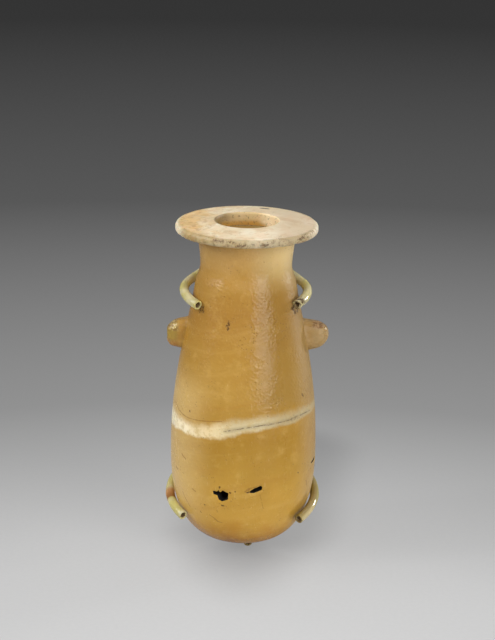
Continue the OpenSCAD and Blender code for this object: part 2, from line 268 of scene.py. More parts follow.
# Each loss has its bearing, height, tilt and outline
LOSSES = ((-17.5, 37, 0, ragged(9, 6.6)), (11, 41.3, 13, slit(7.5, 3.2)), (78, 48.5, 0, slit(9.5, 1.8)))
LOSS_REACH = 8


def loss_place(loss, bearing, height):
    """A point of the wall in a loss's own plane, or None where it lies far away."""
    turn, z, tilt, _ = loss
    across, up = BELLY_R * math.radians(bearing - turn), height - z
    if max(abs(across), abs(up)) > LOSS_REACH:
        return None
    c, s = math.cos(math.radians(tilt)), math.sin(math.radians(tilt))
    return across * c + up * s, up * c - across * s


def loss_wall(loss, place):
    """The bearing and height of a point in a loss's own plane."""
    turn, z, tilt, _ = loss
    c, s = math.cos(math.radians(tilt)), math.sin(math.radians(tilt))
    across, up = place[0] * c - place[1] * s, place[0] * s + place[1] * c
    return turn + math.degrees(across / BELLY_R), z + up


def is_inside(outline, p):
    found = False
    for a, b in zip(outline, outline[1:] + outline[:1]):
        if (a[1] > p[1]) != (b[1] > p[1]) and p[0] < a[0] + (b[0] - a[0]) * (p[1] - a[1]) / (b[1] - a[1]):
            found = not found
    return found


def nearest_on(outline, p):
    """The point of an outline that lies nearest to p."""
    best = None
    for a, b in zip(outline, outline[1:] + outline[:1]):
        ab = (b[0] - a[0], b[1] - a[1])
        t = ((p[0] - a[0]) * ab[0] + (p[1] - a[1]) * ab[1]) / (ab[0] ** 2 + ab[1] ** 2)
        t = min(1.0, max(0.0, t))
        q = (a[0] + t * ab[0], a[1] + t * ab[1])
        if best is None or math.dist(p, q) < math.dist(p, best):
            best = q
    return best


LUG_FLARE = 0.5
LEFT_LUG_SQUARENESS = 4.5
RIGHT_LUG_SQUARENESS = 2.6


def lug_reach(bearing, height, radius):
    """How far a lug stands out at a point: the left one square and chipped, the right one sloping."""
    across = radius * math.radians(abs(bearing) - 90) / LUG_HALF_W
    up = (height - LUG_Z) / LUG_HALF_H
    if bearing < 0:
        reach, squareness = LEFT_LUG_REACH, LEFT_LUG_SQUARENESS
        chips = 3.6 * max(0.0, up - 0.35) / 0.65
    else:
        reach, squareness = RIGHT_LUG_REACH, RIGHT_LUG_SQUARENESS
        chips = 1.2 * blend01(0.1, -0.9, up)
    shape = abs(across) ** 2.8 + abs(up) ** squareness
    if shape >= 1:
        return LUG_FLARE * math.exp(-4 * (shape - 1))
    chips += 0.6 * blend01(0.05, 0.45, noise.noise(on_vessel(bearing, reach, height) * 0.33))
    return LUG_FLARE + max(0.0, reach - radius - LUG_FLARE - chips) * (1 - shape) ** 0.4


def carved(point):
    """Slight unevenness of the hand-carved side."""
    return 0.14 * noise.noise(point * 0.035) + 0.05 * noise.noise(point * 0.16)


LIP_DEPTH = 0.5
LIP_WIDTH = 0.7


def lip_wear(bearing, height):
    """How deep the edge of a loss is worn at a point."""
    deepest = 0.0
    for loss in LOSSES:
        place = loss_place(loss, bearing, height)
        if place:
            gap = math.dist(place, nearest_on(loss[3], place))
            rough = 0.7 + 0.5 * noise.noise(Vector((*place, loss[0])) * 0.9)
            deepest = max(deepest, LIP_DEPTH * rough * math.exp(-((gap / LIP_WIDTH) ** 2)))
    return deepest


# Rows and columns lie closer together at the losses and lugs
LOSS_ROWS_Z = (31, 52)
LUG_ROWS_HALF = 12
ROW_GAPS = {"loss": 0.34, "lug": 0.6, "plain": 1.6}
LOSS_COLUMNS = ((-26, 19), (69, 87))
LUG_EDGE_COLUMNS = (6.5, 11)
LUG_COLUMNS_HALF = 14
COLUMN_STEPS = {"loss": 0.48, "lug_edge": 0.4, "lug": 0.9, "plain": 2.0}


def body_ring_gap(height):
    if LOSS_ROWS_Z[0] < height < LOSS_ROWS_Z[1]:
        return ROW_GAPS["loss"]
    return ROW_GAPS["lug"] if abs(height - LUG_Z) < LUG_ROWS_HALF else ROW_GAPS["plain"]


def body_bearings():
    """Bearings of the columns."""
    found, bearing = [], -180.0
    while bearing < 180:
        found.append(bearing)
        off_lug = abs(abs(bearing) - 90)
        if any(start < bearing < end for start, end in LOSS_COLUMNS):
            bearing += COLUMN_STEPS["loss"]
        elif LUG_EDGE_COLUMNS[0] < off_lug < LUG_EDGE_COLUMNS[1]:
            bearing += COLUMN_STEPS["lug_edge"]
        else:
            bearing += COLUMN_STEPS["lug" if off_lug < LUG_COLUMNS_HALF else "plain"]
    return found


def cells_gone(bearings, rows, first):
    """Cells of the wall that a loss takes away, from the first row that the hollow shares."""
    gone = set()
    for k in range(first, len(rows) - 1):
        for j in range(len(bearings) - 1):
            bearing = (bearings[j] + bearings[j + 1]) / 2
            height = (rows[k][1] + rows[k + 1][1]) / 2
            for loss in LOSSES:
                place = loss_place(loss, bearing, height)
                if place and is_inside(loss[3], place):
                    gone.add((k, j))
    return gone


def rim_places(bearings, rows, gone):
    """Bearing and height of each point round a loss, moved onto its outline."""
    moved = {}
    for k, j in gone:
        for ring, column in ((k, j), (k, j + 1), (k + 1, j), (k + 1, j + 1)):
            around = [(ring - 1, column - 1), (ring - 1, column), (ring, column - 1), (ring, column)]
            if all(cell in gone for cell in around):
                continue
            for loss in LOSSES:
                place = loss_place(loss, bearings[column], rows[ring][1])
                if place:
                    moved[(ring, column)] = loss_wall(loss, nearest_on(loss[3], place))
    return moved


HOLLOW_START_Z = 17
WORN_LIPS_Z = (28, 56)
LUG_SPREAD_Z = 14
STONE, INSIDE, BROKEN = range(3)


def vessel_body(stone, inside, broken):
    bearings = body_bearings()
    columns = len(bearings)
    line, hollow = side_line(), cavity_line()
    outer = walk(line, body_ring_gap)[1:]
    hollow_floor = walk([p for p in hollow if p[1] <= HOLLOW_START_Z], lambda z: ROW_GAPS["plain"])[1:]
    shared = [p[1] for p in outer if p[1] > HOLLOW_START_Z + 1]
    upright = [p for p in hollow if p[1] > HOLLOW_START_Z]
    inner = [(radius_at(upright, z), z) for z in reversed(shared)] + hollow_floor[::-1]
    first_shared = len(outer) - len(shared)

    def inner_of(ring):
        return len(outer) + len(shared) - 1 - (ring - first_shared)

    gone = cells_gone(bearings, outer, first_shared)
    moved = rim_places(bearings, outer, gone)
    verts = []
    rings = outer + inner
    for ring, (radius, height) in enumerate(rings):
        is_outside = ring < len(outer)
        before, after = rings[max(0, ring - 1)], rings[min(len(outer) - 1, ring + 1)]
        slope = Vector((after[1] - before[1], before[0] - after[0])).normalized() if is_outside else None
        for column, bearing in enumerate(bearings):
            matching = ring if is_outside else inner_of(0) - ring
            here = moved.get((matching, column), (bearing, height))
            point = on_vessel(here[0], radius, here[1])
            if is_outside:
                near_loss = WORN_LIPS_Z[0] < here[1] < WORN_LIPS_Z[1]
                rise = carved(point) - (lip_wear(*here) if near_loss else 0)
                out = lug_reach(here[0], here[1], radius) if abs(height - LUG_Z) < LUG_SPREAD_Z else 0
                point = on_vessel(here[0], radius + rise * slope.x + out, here[1] + rise * slope.y)
            verts.append(point)

    faces, materials = [], []
    for ring in range(len(rings) - 1):
        is_outside = ring < len(outer)
        for j in range(columns):
            n = (j + 1) % columns
            matching = ring if is_outside else inner_of(0) - ring - 1
            if (matching, j) in gone:
                continue
            a, b = ring * columns, (ring + 1) * columns
            faces.append((a + j, a + n, b + n, b + j))
            materials.append(STONE if ring < len(outer) - 1 or rings[ring][1] > SHOULDER_Z else INSIDE)
    base_middle = len(verts)
    verts.append(Vector((0, 0, 0)))
    verts.append(Vector((0, 0, BASE_T)))
    last = (len(rings) - 1) * columns
    for j in range(columns):
        n = (j + 1) % columns
        faces.append((j, n, base_middle))
        faces.append((last + j, last + n, base_middle + 1))
        materials += [STONE, INSIDE]
    # Broken walls of the losses, between the outside and the hollow
    for k, j in gone:
        for cell, edge in (((k - 1, j), ((k, j), (k, j + 1))), ((k + 1, j), ((k + 1, j), (k + 1, j + 1))),
                           ((k, j - 1), ((k, j), (k + 1, j))), ((k, j + 1), ((k, j + 1), (k + 1, j + 1)))):
            if cell not in gone:
                (ka, ja), (kb, jb) = edge
                faces.append((ka * columns + ja, kb * columns + jb,
                              inner_of(kb) * columns + jb, inner_of(ka) * columns + ja))
                materials.append(BROKEN)
    piece = add_piece("carved_body", verts, faces, "vessel", "honey_stone", (stone, inside, broken), sharp=60)
    piece.data.polygons.foreach_set("material_index", materials)
    piece.data.update()
    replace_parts(piece, "vessel_body")


# The mouth disc

# The mouth's rounded edge: how far out of the mouth and below the top its points lie
MOUTH_EDGE = ((0, 1.0), (0.15, 0.5), (0.5, 0.2))
TOP_START = (1, 0.1)
TOP_STEPS = 26
TOP_SECTIONS = range(len(MOUTH_EDGE), len(MOUTH_EDGE) + TOP_STEPS + 1)
EDGE_ROUND = DISC_EDGE_T / 2.4
DISC_SIDES = 420


def straight(a, b, count, first=1):
    """Points on the straight from a to b in count steps."""
    return [(a[0] + (b[0] - a[0]) * i / count, a[1] + (b[1] - a[1]) * i / count)
            for i in range(first, count + 1)]


def disc_sections():
    """The disc's section as a closed loop, from the mouth out over the top and back below."""
    r, end = EDGE_ROUND, DISC_R - EDGE_ROUND
    top, low = VESSEL_H - DISC_CROWN, VESSEL_H - DISC_CROWN - DISC_EDGE_T
    points = [(MOUTH_R + out, VESSEL_H - down) for out, down in MOUTH_EDGE]
    points += straight((MOUTH_R + TOP_START[0], VESSEL_H - TOP_START[1]), (end, top), TOP_STEPS, first=0)
    turns = [math.radians(15 * i) for i in range(7)]
    points += [(end + r * math.sin(a), top - r + r * math.cos(a)) for a in turns[1:]]
    points += [(end + r * math.cos(a), low + r - r * math.sin(a)) for a in turns]
    points += straight((end, low), (DISC_SEAT_R, DISC_Z), 8)
    points += straight((DISC_SEAT_R, DISC_Z), (MOUTH_R, DISC_Z), 6)
    return points + straight((MOUTH_R, DISC_Z), points[0], 5)[:-1]


def edge_chip(bearing, height):
    """How much of the disc's edge is worn off at a bearing, more at the front than at the back."""
    spot = on_vessel(bearing, DISC_R, 0)
    front = 0.35 + 0.65 * blend01(120, 20, abs(bearing))
    coarse = blend01(0.1, 0.55, noise.noise(spot * 0.11 + Vector((3, 0, height * 0.06))))
    fine = blend01(0.0, 0.6, noise.noise(spot * 0.42 + Vector((0, 7, height * 0.25))))
    left = 1.3 * blend01(42, 12, abs(bearing + 62))
    return (front + left) * (0.75 * coarse + 0.35 * fine)


def mouth_disc(stone):
    sections = disc_sections()
    sides = DISC_SIDES
    verts = []
    for section, (radius, height) in enumerate(sections):
        at_edge = blend01(DISC_R - 4.5, DISC_R - 0.5, radius)
        at_mouth = blend01(MOUTH_R + 2, MOUTH_R, radius) * blend01(DISC_Z, VESSEL_H, height)
        on_top = 1 if section in TOP_SECTIONS else 0
        for k in range(sides):
            bearing = 360 * k / sides - 180
            spot = on_vessel(bearing, radius, height)
            chip = edge_chip(bearing, height)
            worn = 0.3 * blend01(0.2, 0.7, noise.noise(spot * 0.3))
            lower = on_top * (0.1 + 0.1 * noise.noise(spot * 0.1)) + 0.55 * at_edge * on_top * chip
            verts.append(on_vessel(bearing, radius - at_edge * chip + at_mouth * worn, height - lower))
    piece = add_piece("worn_disc", verts, loops_to_faces(len(sections), sides, True), "vessel", "pale_stone",
                      (stone,), sharp=55)
    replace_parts(piece, "mouth_disc")


# Rods and tubing

def bend(centre, radius, start, end, step=3):
    """Stations round a bend, each a place in the clip's plane and the bearing of the bend's outer side."""
    steps = math.ceil(abs(end - start) / step)
    angles = [math.radians(start + (end - start) * i / steps) for i in range(steps + 1)]
    return [(centre[0] + radius * math.cos(a), centre[1] + radius * math.sin(a), a) for a in angles]


def between(a, b, gap=1.5):
    """Stations on the straight from a to b, without its ends."""
    count = max(1, math.ceil(math.dist(a[:2], b[:2]) / gap))
    return [tuple(a[k] + (b[k] - a[k]) * i / count for k in range(3)) for i in range(1, count)]


def clip_reach(clip):
    """How far behind the vessel's side a clip's root lies, in its own plane."""
    return (clip["root"] - CLIP_FRONT_Y) / math.cos(math.radians(clip["lean"]))


def clip_angles(clip):
    """Angles behind the side where a clip leaves its front bend and where it runs out straight."""
    if "bow" in clip:
        return clip["bow"]
    leave = math.degrees(math.asin((clip["front_r"] - clip["back_r"]) / (clip_reach(clip) - clip["back_r"])))
    return leave, leave


def next_middle(middle, radius, next_radius, angle):
    """Middle of the bend that carries on from another one at an angle."""
    off, a = radius - next_radius, math.radians(angle)
    return middle[0] + off * math.cos(a), middle[1] + off * math.sin(a)


def front_line(clip, tip):
    """Stations of the front bend on the right, from its tip, straighter in front of the ease angle."""
    middle, leave = (clip["half"], 0), clip_angles(clip)[0]
    if tip <= clip["ease"]:
        return bend(middle, clip["front_r"], -tip, leave)
    tip_middle = next_middle(middle, clip["front_r"], clip["tip_r"], -clip["ease"])
    straighter = bend(tip_middle, clip["tip_r"], -tip, -clip["ease"])
    return straighter + bend(middle, clip["front_r"], -clip["ease"], leave)[1:]


def back_line(clip, start):
    """Stations behind the front bend: round the bow, if there is one, and straight on to the back bend."""
    leave, out = clip_angles(clip)
    line = [start]
    if out > leave:
        bow_middle = next_middle((clip["half"], 0), clip["front_r"], clip["bow_r"], leave)
        line = bend(bow_middle, clip["bow_r"], leave, out)
    x, y, a = line[-1]
    radius = clip["back_r"]
    run = (clip_reach(clip) - radius * (1 - math.sin(a)) - y) / math.cos(a)
    corner = (x - run * math.sin(a), y + run * math.cos(a), a)
    middle = (corner[0] - radius * math.cos(a), corner[1] - radius * math.sin(a))
    return line + between(line[-1], corner) + bend(middle, radius, out, 90)


def first_stretch(stations, length):
    """The stations of a line up to a length along it."""
    kept = [stations[0]]
    for a, b in zip(stations, stations[1:]):
        step = math.dist(a[:2], b[:2])
        if step >= length:
            return kept + [tuple(a[k] + (b[k] - a[k]) * length / step for k in range(3))]
        kept.append(b)
        length -= step
    return kept


def prong_line(clip):
    """Stations of a prong on the right, from its tip to the end of its back bend."""
    front = front_line(clip, clip["rod"])
    return front[:-1] + back_line(clip, front[-1])


def sleeve_line(clip, tip):
    """Stations of the tubing on the right, from its tip to the end of its tail behind the front bend."""
    front = front_line(clip, tip)
    return front[:-1] + first_stretch(back_line(clip, front[-1]), clip["tail"])


def other_side(stations):
    return [(-x, y, math.pi - a) for x, y, a in reversed(stations)]


def clip_frame(clip):
    """The clip's plane in the row frame, in millimetres from the vessel's base."""
    lean = Matrix.Rotation(math.radians(clip["lean"]), 4, "X")
    return Matrix.Translation((0, CLIP_FRONT_Y, clip["z"])) @ lean


def ring_points(station, radius, place, sides, along=0.0):
    """A ring of points about a station, moved along the rod."""
    x, y, a = station
    x, y = x - along * math.sin(a), y + along * math.cos(a)
    points = []
    for k in range(sides):
        turn = 2 * math.pi * k / sides
        out = radius * math.cos(turn)
        points.append(place @ Vector((x + out * math.cos(a), y + out * math.sin(a), radius * math.sin(turn))))
    return points


ROD_SIDES = 28
DOME_STEPS = 4
DOME_H = 0.7


def rod(stations, place, radius_of=lambda station: ROD_R):
    """A round rod with softly rounded ends."""
    verts = []
    dome = [math.radians(80 - 80 * i / DOME_STEPS) for i in range(DOME_STEPS)]
    first, last = stations[0], stations[-1]
    for a in dome:
        in_from_end = DOME_H * (1 - math.sin(a))
        verts += ring_points(first, ROD_R * math.cos(a), place, ROD_SIDES, in_from_end)
    for station in stations[1:-1]:
        verts += ring_points(station, radius_of(station), place, ROD_SIDES)
    for a in reversed(dome):
        in_from_end = DOME_H * (1 - math.sin(a))
        verts += ring_points(last, radius_of(last) * math.cos(a), place, ROD_SIDES, -in_from_end)
    return verts, loops_to_faces(len(verts) // ROD_SIDES, ROD_SIDES, False)


RIM = 0.22
TUBE_SIDES = 32
SHADED_BORE_LOOPS = 3


def tubing(stations, place):
    """Tubing, cut square with slightly softened ends."""
    bulge = [SLEEVE_R * (1 - 0.012 * (1 + noise.noise(Vector((x, y, 5)) * 0.4))) for x, y, _ in stations]
    verts = []
    sides = TUBE_SIDES
    first, last = stations[0], stations[-1]
    verts += ring_points(first, SLEEVE_R - RIM, place, sides)
    verts += ring_points(first, SLEEVE_R - 0.3 * RIM, place, sides, 0.3 * RIM)
    for station, radius in zip(stations[1:-1], bulge[1:-1]):
        verts += ring_points(station, radius, place, sides)
    verts += ring_points(last, SLEEVE_R - 0.3 * RIM, place, sides, -0.3 * RIM)
    verts += ring_points(last, SLEEVE_R - RIM, place, sides)
    verts += ring_points(last, SLEEVE_BORE_R + 0.3 * RIM, place, sides)
    verts += ring_points(last, SLEEVE_BORE_R, place, sides, -RIM)
    for station in reversed(stations[1:-1]):
        verts += ring_points(station, SLEEVE_BORE_R, place, sides)
    verts += ring_points(first, SLEEVE_BORE_R, place, sides, RIM)
    verts += ring_points(first, SLEEVE_BORE_R + 0.3 * RIM, place, sides)
    return verts, loops_to_faces(len(verts) // sides, sides, True)


def turned(profile, sides, place):
    """A solid turned about its own z axis, from points (radius, height)."""
    verts = [place @ Vector((r * math.cos(2 * math.pi * k / sides), r * math.sin(2 * math.pi * k / sides), z))
             for r, z in profile for k in range(sides)]
    return verts, loops_to_faces(len(profile), sides, False)


def joined(*parts):
    """Several shapes as one mesh."""
    verts, faces = [], []
    for part_verts, part_faces in parts:
        start = len(verts)
        verts += part_verts
        faces += [tuple(start + i for i in face) for face in part_faces]
    return verts, faces


def mirrored(shape):
    verts, faces = shape
    return [Vector((-v.x, v.y, v.z)) for v in verts], [tuple(reversed(face)) for face in faces]


BRAZE_R = 0.75
BRAZE_REACH = 1.8
COLLAR_SIDES = 40
POST_SIDES = 48
POST_STEPS = 40


def brazed(middle, surface_r):
    """Radius of a rod that swells into a braze where it meets a round surface about a middle."""
    def radius_of(station):
        off = math.dist(station[:2], middle) - surface_r
        return ROD_R + BRAZE_R * blend01(BRAZE_REACH, 0, max(0.0, off)) ** 1.6
    return radius_of


def upper_prong():
    """A prong with its collar and the pin below it, on the right."""
    place = clip_frame(UPPER)
    line = prong_line(UPPER)
    root = (SOCKET_X, line[-1][1], math.radians(90))
    stations = line + between(line[-1], root, 0.4) + [root]
    collar_place = place @ Matrix.Translation((SOCKET_X, root[1], 0))
    half, edge, nick, pin_edge = COLLAR_H / 2, 0.4, 0.1, 0.3
    pin_end = -half - PIN_L
    profile = [(pin_edge, pin_end), (ROD_R - pin_edge, pin_end), (ROD_R, pin_end + pin_edge), (ROD_R, -half),
               (COLLAR_R - edge, -half), (COLLAR_R - nick, -half + nick), (COLLAR_R, -half + edge),
               (COLLAR_R, half - edge), (COLLAR_R - nick, half - nick), (COLLAR_R - edge, half),
               (pin_edge, half)]
    bent = rod(stations, place, brazed(root[:2], COLLAR_R))
    return joined(bent, turned(profile, COLLAR_SIDES, collar_place))


def sleeve(clip, side):
    return tubing(sleeve_line(clip, clip[side]), clip_frame(clip))


def shade_bore_tips(piece):
    """The tubing's bore is painted dark just inside its tip, as painted shade with grime."""
    count = len(piece.data.polygons) // TUBE_SIDES
    for face in piece.data.polygons:
        loop = face.index // TUBE_SIDES
        face.material_index = 1 if count - 2 - SHADED_BORE_LOOPS <= loop < count - 2 else 0


def lower_clip():
    right = prong_line(LOWER)
    left = other_side(right)
    stations = right + between(right[-1], left[0], 0.5) + left
    return rod(stations, clip_frame(LOWER), brazed((0, right[-1][1]), POST_R))


def rest_frame():
    """The bottom rest's own plane: its line runs along -Y from the post, a little aslant."""
    turn = math.atan2(REST_SIDE, POST_BACK + REST_REACH)
    return Matrix.Translation((0, POST_BACK, REST_Z)) @ Matrix.Rotation(turn, 4, "Z")


def rest_length():
    return math.hypot(REST_SIDE, POST_BACK + REST_REACH)


def bottom_rest():
    tip, stub = (0, REST_OVERRUN - rest_length(), 0), (0, POST_R + REST_STUB, 0)
    stations = [tip] + between(tip, stub, 0.6) + [stub]
    return rod(stations, rest_frame(), brazed((0, 0), POST_R))


def bottom_sleeve():
    tip, tail = (0, -rest_length(), 0), (0, REST_SLEEVE_L - rest_length(), 0)
    return tubing([tip] + between(tip, tail) + [tail], rest_frame())


def post():
    """The post with its plug below the deck, on its own axis."""
    top, edge, nick = post_high.z / MM, 0.4, 0.12
    profile = [(edge, -PLUG_L), (PLUG_R - edge, -PLUG_L), (PLUG_R, edge - PLUG_L), (PLUG_R, 0),
               (POST_R - edge, 0), (POST_R - nick, nick), (POST_R, edge)]
    profile += [(POST_R, edge + (top - 2 * edge) * i / POST_STEPS) for i in range(1, POST_STEPS + 1)]
    profile += [(POST_R - edge, top), (edge, top)]
    return turned(profile, POST_SIDES, Matrix.Identity(4))


# Node helpers

def node(tree, kind, inputs=None, **settings):
    """A shader node with its settings, its plain values and its links."""
    made = tree.nodes.new("ShaderNode" + kind)
    for name, value in settings.items():
        setattr(made, name, value)
    for key, value in (inputs or {}).items():
        if isinstance(value, bpy.types.NodeSocket):
            tree.links.new(value, made.inputs[key])
        else:
            made.inputs[key].default_value = value
    return made


def calc(tree, operation, *values):
    return node(tree, "Math", dict(enumerate(values)), operation=operation).outputs[0]


def times(tree, first, *others):
    """The product of masks and plain values."""
    for other in others:
        first = calc(tree, "MULTIPLY", first, other)
    return first


def vector_calc(tree, operation, *values):
    made = node(tree, "VectorMath", dict(enumerate(values)), operation=operation)
    return made.outputs["Value" if operation in ("LENGTH", "DOT_PRODUCT", "DISTANCE") else "Vector"]


def scaled(tree, vector, factor):
    return node(tree, "VectorMath", {0: vector, "Scale": factor}, operation="SCALE").outputs["Vector"]


def parts_of(tree, vector):
    return node(tree, "SeparateXYZ", {"Vector": vector}).outputs


def off_axis(tree, x, y):
    """Distance from the vessel's axis."""
    return vector_calc(tree, "LENGTH", node(tree, "CombineXYZ", {"X": x, "Y": y}).outputs["Vector"])


def ramp(tree, value, low, high, start=0.0, end=1.0):
    """Runs smoothly from start at low to end at high."""
    inputs = {"Value": value, "From Min": low, "From Max": high, "To Min": start, "To Max": end}
    return node(tree, "MapRange", inputs, interpolation_type="SMOOTHSTEP").outputs["Result"]


def painted(tree, under, over, *shares):
    """One colour laid over another, as far as the product of the shares says."""
    a, b = (colour(*shade) if isinstance(shade, tuple) else shade for shade in (under, over))
    return node(tree, "Mix", {0: times(tree, *shares), 6: a, 7: b}, data_type="RGBA").outputs[2]


def grain(tree, vector, scale, detail=3.0, roughness=0.5, distortion=0.0):
    inputs = {"Vector": vector, "Scale": scale, "Detail": detail, "Roughness": roughness,
              "Distortion": distortion}
    return node(tree, "TexNoise", inputs).outputs["Fac"]


def shades_along(tree, value, stops):
    """Colours along a value from 0 to 1."""
    made = node(tree, "ValToRGB", {"Fac": value})
    elements = made.color_ramp.elements
    while len(elements) < len(stops):
        elements.new(0.5)
    for element, (position, shade) in zip(elements, stops):
        element.position = position
        element.color = colour(*shade)
    return made.outputs["Color"]


def curve_of(tree, position, points, low, high):
    """A Float Curve through points given over a bearing, read at a place from 0 to 1."""
    made = node(tree, "FloatCurve", {"Value": position})
    curve = made.mapping.curves[0]
    while len(curve.points) < len(points):
        curve.points.new(0.5, 0.5)
    for point, (bearing, value) in zip(curve.points, points):
        point.location = ((bearing + 180) / 360, (value - low) / (high - low))
    made.mapping.update()
    return calc(tree, "MULTIPLY_ADD", made.outputs["Value"], high - low, low)


def place_mm(tree):
    """The place on a piece in millimetres from the vessel's base."""
    place = node(tree, "TexCoord").outputs["Object"]
    return scaled(tree, vector_calc(tree, "SUBTRACT", place, tuple(AXIS)), 1 / MM)


def new_finish(name, **plain):
    """A material with its shader's plain values set."""
    material = bpy.data.materials.new(name)
    material.use_nodes = True
    shader = material.node_tree.nodes["Principled BSDF"]
    for label, value in plain.items():
        shader.inputs[label.replace("_", " ")].default_value = value
    return material, material.node_tree, shader


def feed(tree, shader, **values):
    """Links values that change over the surface to a shader's inputs."""
    for label, value in values.items():
        tree.links.new(value, shader.inputs[label.replace("_", " ")])


def set_bump(tree, shader, height, strength, distance):
    bump = node(tree, "Bump", {"Height": height, "Strength": strength, "Distance": distance * MM})
    tree.links.new(bump.outputs["Normal"], shader.inputs["Normal"])


# Effects that several finishes share

def shader_group(name, inputs, outputs):
    tree = bpy.data.node_groups.new(name, "ShaderNodeTree")
    for label, kind in inputs:
        tree.interface.new_socket(label, in_out="INPUT", socket_type="NodeSocket" + kind)
    for label, kind in outputs:
        tree.interface.new_socket(label, in_out="OUTPUT", socket_type="NodeSocket" + kind)
    return tree, tree.nodes.new("NodeGroupInput").outputs, tree.nodes.new("NodeGroupOutput").inputs


# Shares of a mark's half width where its mask is full and where it ends
MARK_CORE = 0.55
MARK_RIM = 1.3


def placed_mark_group():
    """A mask along a short line from Start to End, with a wavering edge."""
    tree, given, out = shader_group(
        "Placed mark", (("Place", "Vector"), ("Start", "Vector"), ("End", "Vector"), ("Half width", "Float"),
                        ("Waver", "Float")), (("Mask", "Float"),))
    from_start = vector_calc(tree, "SUBTRACT", given["Place"], given["Start"])
    run = vector_calc(tree, "SUBTRACT", given["End"], given["Start"])
    share = calc(tree, "DIVIDE", vector_calc(tree, "DOT_PRODUCT", from_start, run),
                 calc(tree, "MAXIMUM", vector_calc(tree, "DOT_PRODUCT", run, run), 0.0001))
    share = node(tree, "Clamp", {"Value": share}).outputs["Result"]
    off_line = vector_calc(tree, "SUBTRACT", from_start, scaled(tree, run, share))
    rough = calc(tree, "SUBTRACT", grain(tree, given["Place"], 1.0, 5, 0.7), 0.5)
    gap = calc(tree, "ADD", vector_calc(tree, "LENGTH", off_line), times(tree, rough, given["Waver"]))
    core, rim = (times(tree, given["Half width"], part) for part in (MARK_CORE, MARK_RIM))
    tree.links.new(ramp(tree, gap, core, rim, 1.0, 0.0), out["Mask"])
    return tree


def stone_wear_group():
    """Pits, fine scratches and cloudiness that both stones share."""
    tree, given, out = shader_group(
        "Stone wear", (("Place", "Vector"), ("Pit share", "Float")),
        (("Pits", "Float"), ("Clouds", "Float"), ("Scratches", "Float"), ("Height", "Float")))
    place = given["Place"]
    cells = node(tree, "TexVoronoi", {"Vector": place, "Scale": 0.62, "Randomness": 1.0})
    limit = times(tree, ramp(tree, grain(tree, place, 0.11, 3), 0.45, 0.7), given["Pit share"])
    pits = ramp(tree, calc(tree, "SUBTRACT", cells.outputs["Distance"], limit), 0.0, 0.12, 1.0, 0.0)
    stretched = vector_calc(tree, "MULTIPLY", place, (1.6, 1.6, 0.22))
    scratches = ramp(tree, grain(tree, stretched, 1.0, 5, 0.65), 0.6, 0.72)
    clouds = grain(tree, place, 0.045, 6, 0.55, 0.6)
    ripple = times(tree, grain(tree, place, 0.42, 2, 0.6), 0.45)
    height = calc(tree, "MULTIPLY_ADD", grain(tree, place, 1.3, 5, 0.6), 0.45, ripple)
    height = calc(tree, "SUBTRACT", height, times(tree, pits, 0.8))
    height = calc(tree, "SUBTRACT", height, times(tree, scratches, 0.12))
    for label, value in (("Pits", pits), ("Clouds", clouds), ("Scratches", scratches), ("Height", height)):
        tree.links.new(value, out[label])
    return tree


PLACED_MARK = placed_mark_group()
STONE_WEAR = stone_wear_group()


def mark(tree, place, start, end, half_width, waver=0.0):
    inputs = {"Place": place, "Start": start, "End": end, "Half width": half_width, "Waver": waver}
    return node(tree, "Group", inputs, node_tree=PLACED_MARK).outputs["Mask"]


def marks_of(tree, place, marks, line):
    """The strongest of several marks, each from one bearing and height to another, on the outside."""
    found = None
    for start, end, half_width, waver in marks:
        ends = [tuple(on_vessel(b, radius_at(line, z), z)) for b, z in (start, end)]
        made = mark(tree, place, *ends, half_width, waver)
        found = made if found is None else calc(tree, "MAXIMUM", found, made)
    return found


def stone_wear(tree, place, pit_share):
    return node(tree, "Group", {"Place": place, "Pit share": pit_share}, node_tree=STONE_WEAR).outputs


# The vessel's honey stone

# The pale band round the belly: bearing, middle height and half its height
BAND = ((-180, 75, 3.2), (-125, 74, 4.2), (-80, 72.6, 4.8), (-66, 72, 4.3), (-53, 71.6, 3.7),
        (-42, 71.9, 3.6), (-30, 72.8, 3.9), (-13, 75.1, 4.9), (3, 77.7, 4.1), (15, 78.8, 3.7),
        (28, 79.1, 3.4), (44, 80.1, 3.6), (62, 80.4, 2.9), (78, 80.6, 2.4), (125, 78, 2.6), (180, 75, 3.2))
BAND_LOW, BAND_HIGH = 60, 90
BAND_HALF_MAX = 8
CRACK_OFFSET = -1.2

# Marks on the outside: a start and an end, each a bearing and a height, then half a width and a waver
PITS_AND_FLECKS = (((-9.7, 39.4), (-9.4, 39.3), 0.5, 1.4), ((-5.7, 40.2), (-5.5, 40.2), 0.4, 1.4),
        ((-16.5, 31.3), (-15.5, 31.3), 0.55, 2.0), ((-18.2, 42.2), (-18, 42.0), 0.5, 2.0),
        ((-48.7, 81.2), (-48.4, 80.6), 0.45, 1.4), ((56.4, 90.4), (58, 88.6), 0.4, 2.4),
        ((-17.4, 132.8), (-16.8, 128.6), 0.45, 6.0), ((-19.6, 130.4), (-19.2, 129.6), 0.25, 5.0),
        # Dark flecks beside the upper tubing's tips: both marks on this line and the next, and the first on
        # the line after
        ((-56, 138.8), (-55.5, 134), 0.3, 6.0), ((-51, 137.6), (-50.6, 134.8), 0.45, 6.0),
        ((59, 137), (64, 133.4), 0.9, 7.0), ((66, 138), (70, 133.6), 0.8, 7.0),
        ((74, 138.2), (75, 135), 0.6, 7.0), ((-33, 30), (-32.4, 29.8), 0.4, 1.6),
        ((-38, 24.8), (-37.5, 24.4), 0.35, 1.6), ((49, 47.2), (49.4, 47), 0.4, 1.6),
        ((4.0, 40.0), (5.4, 40.1), 0.5, 1.4))
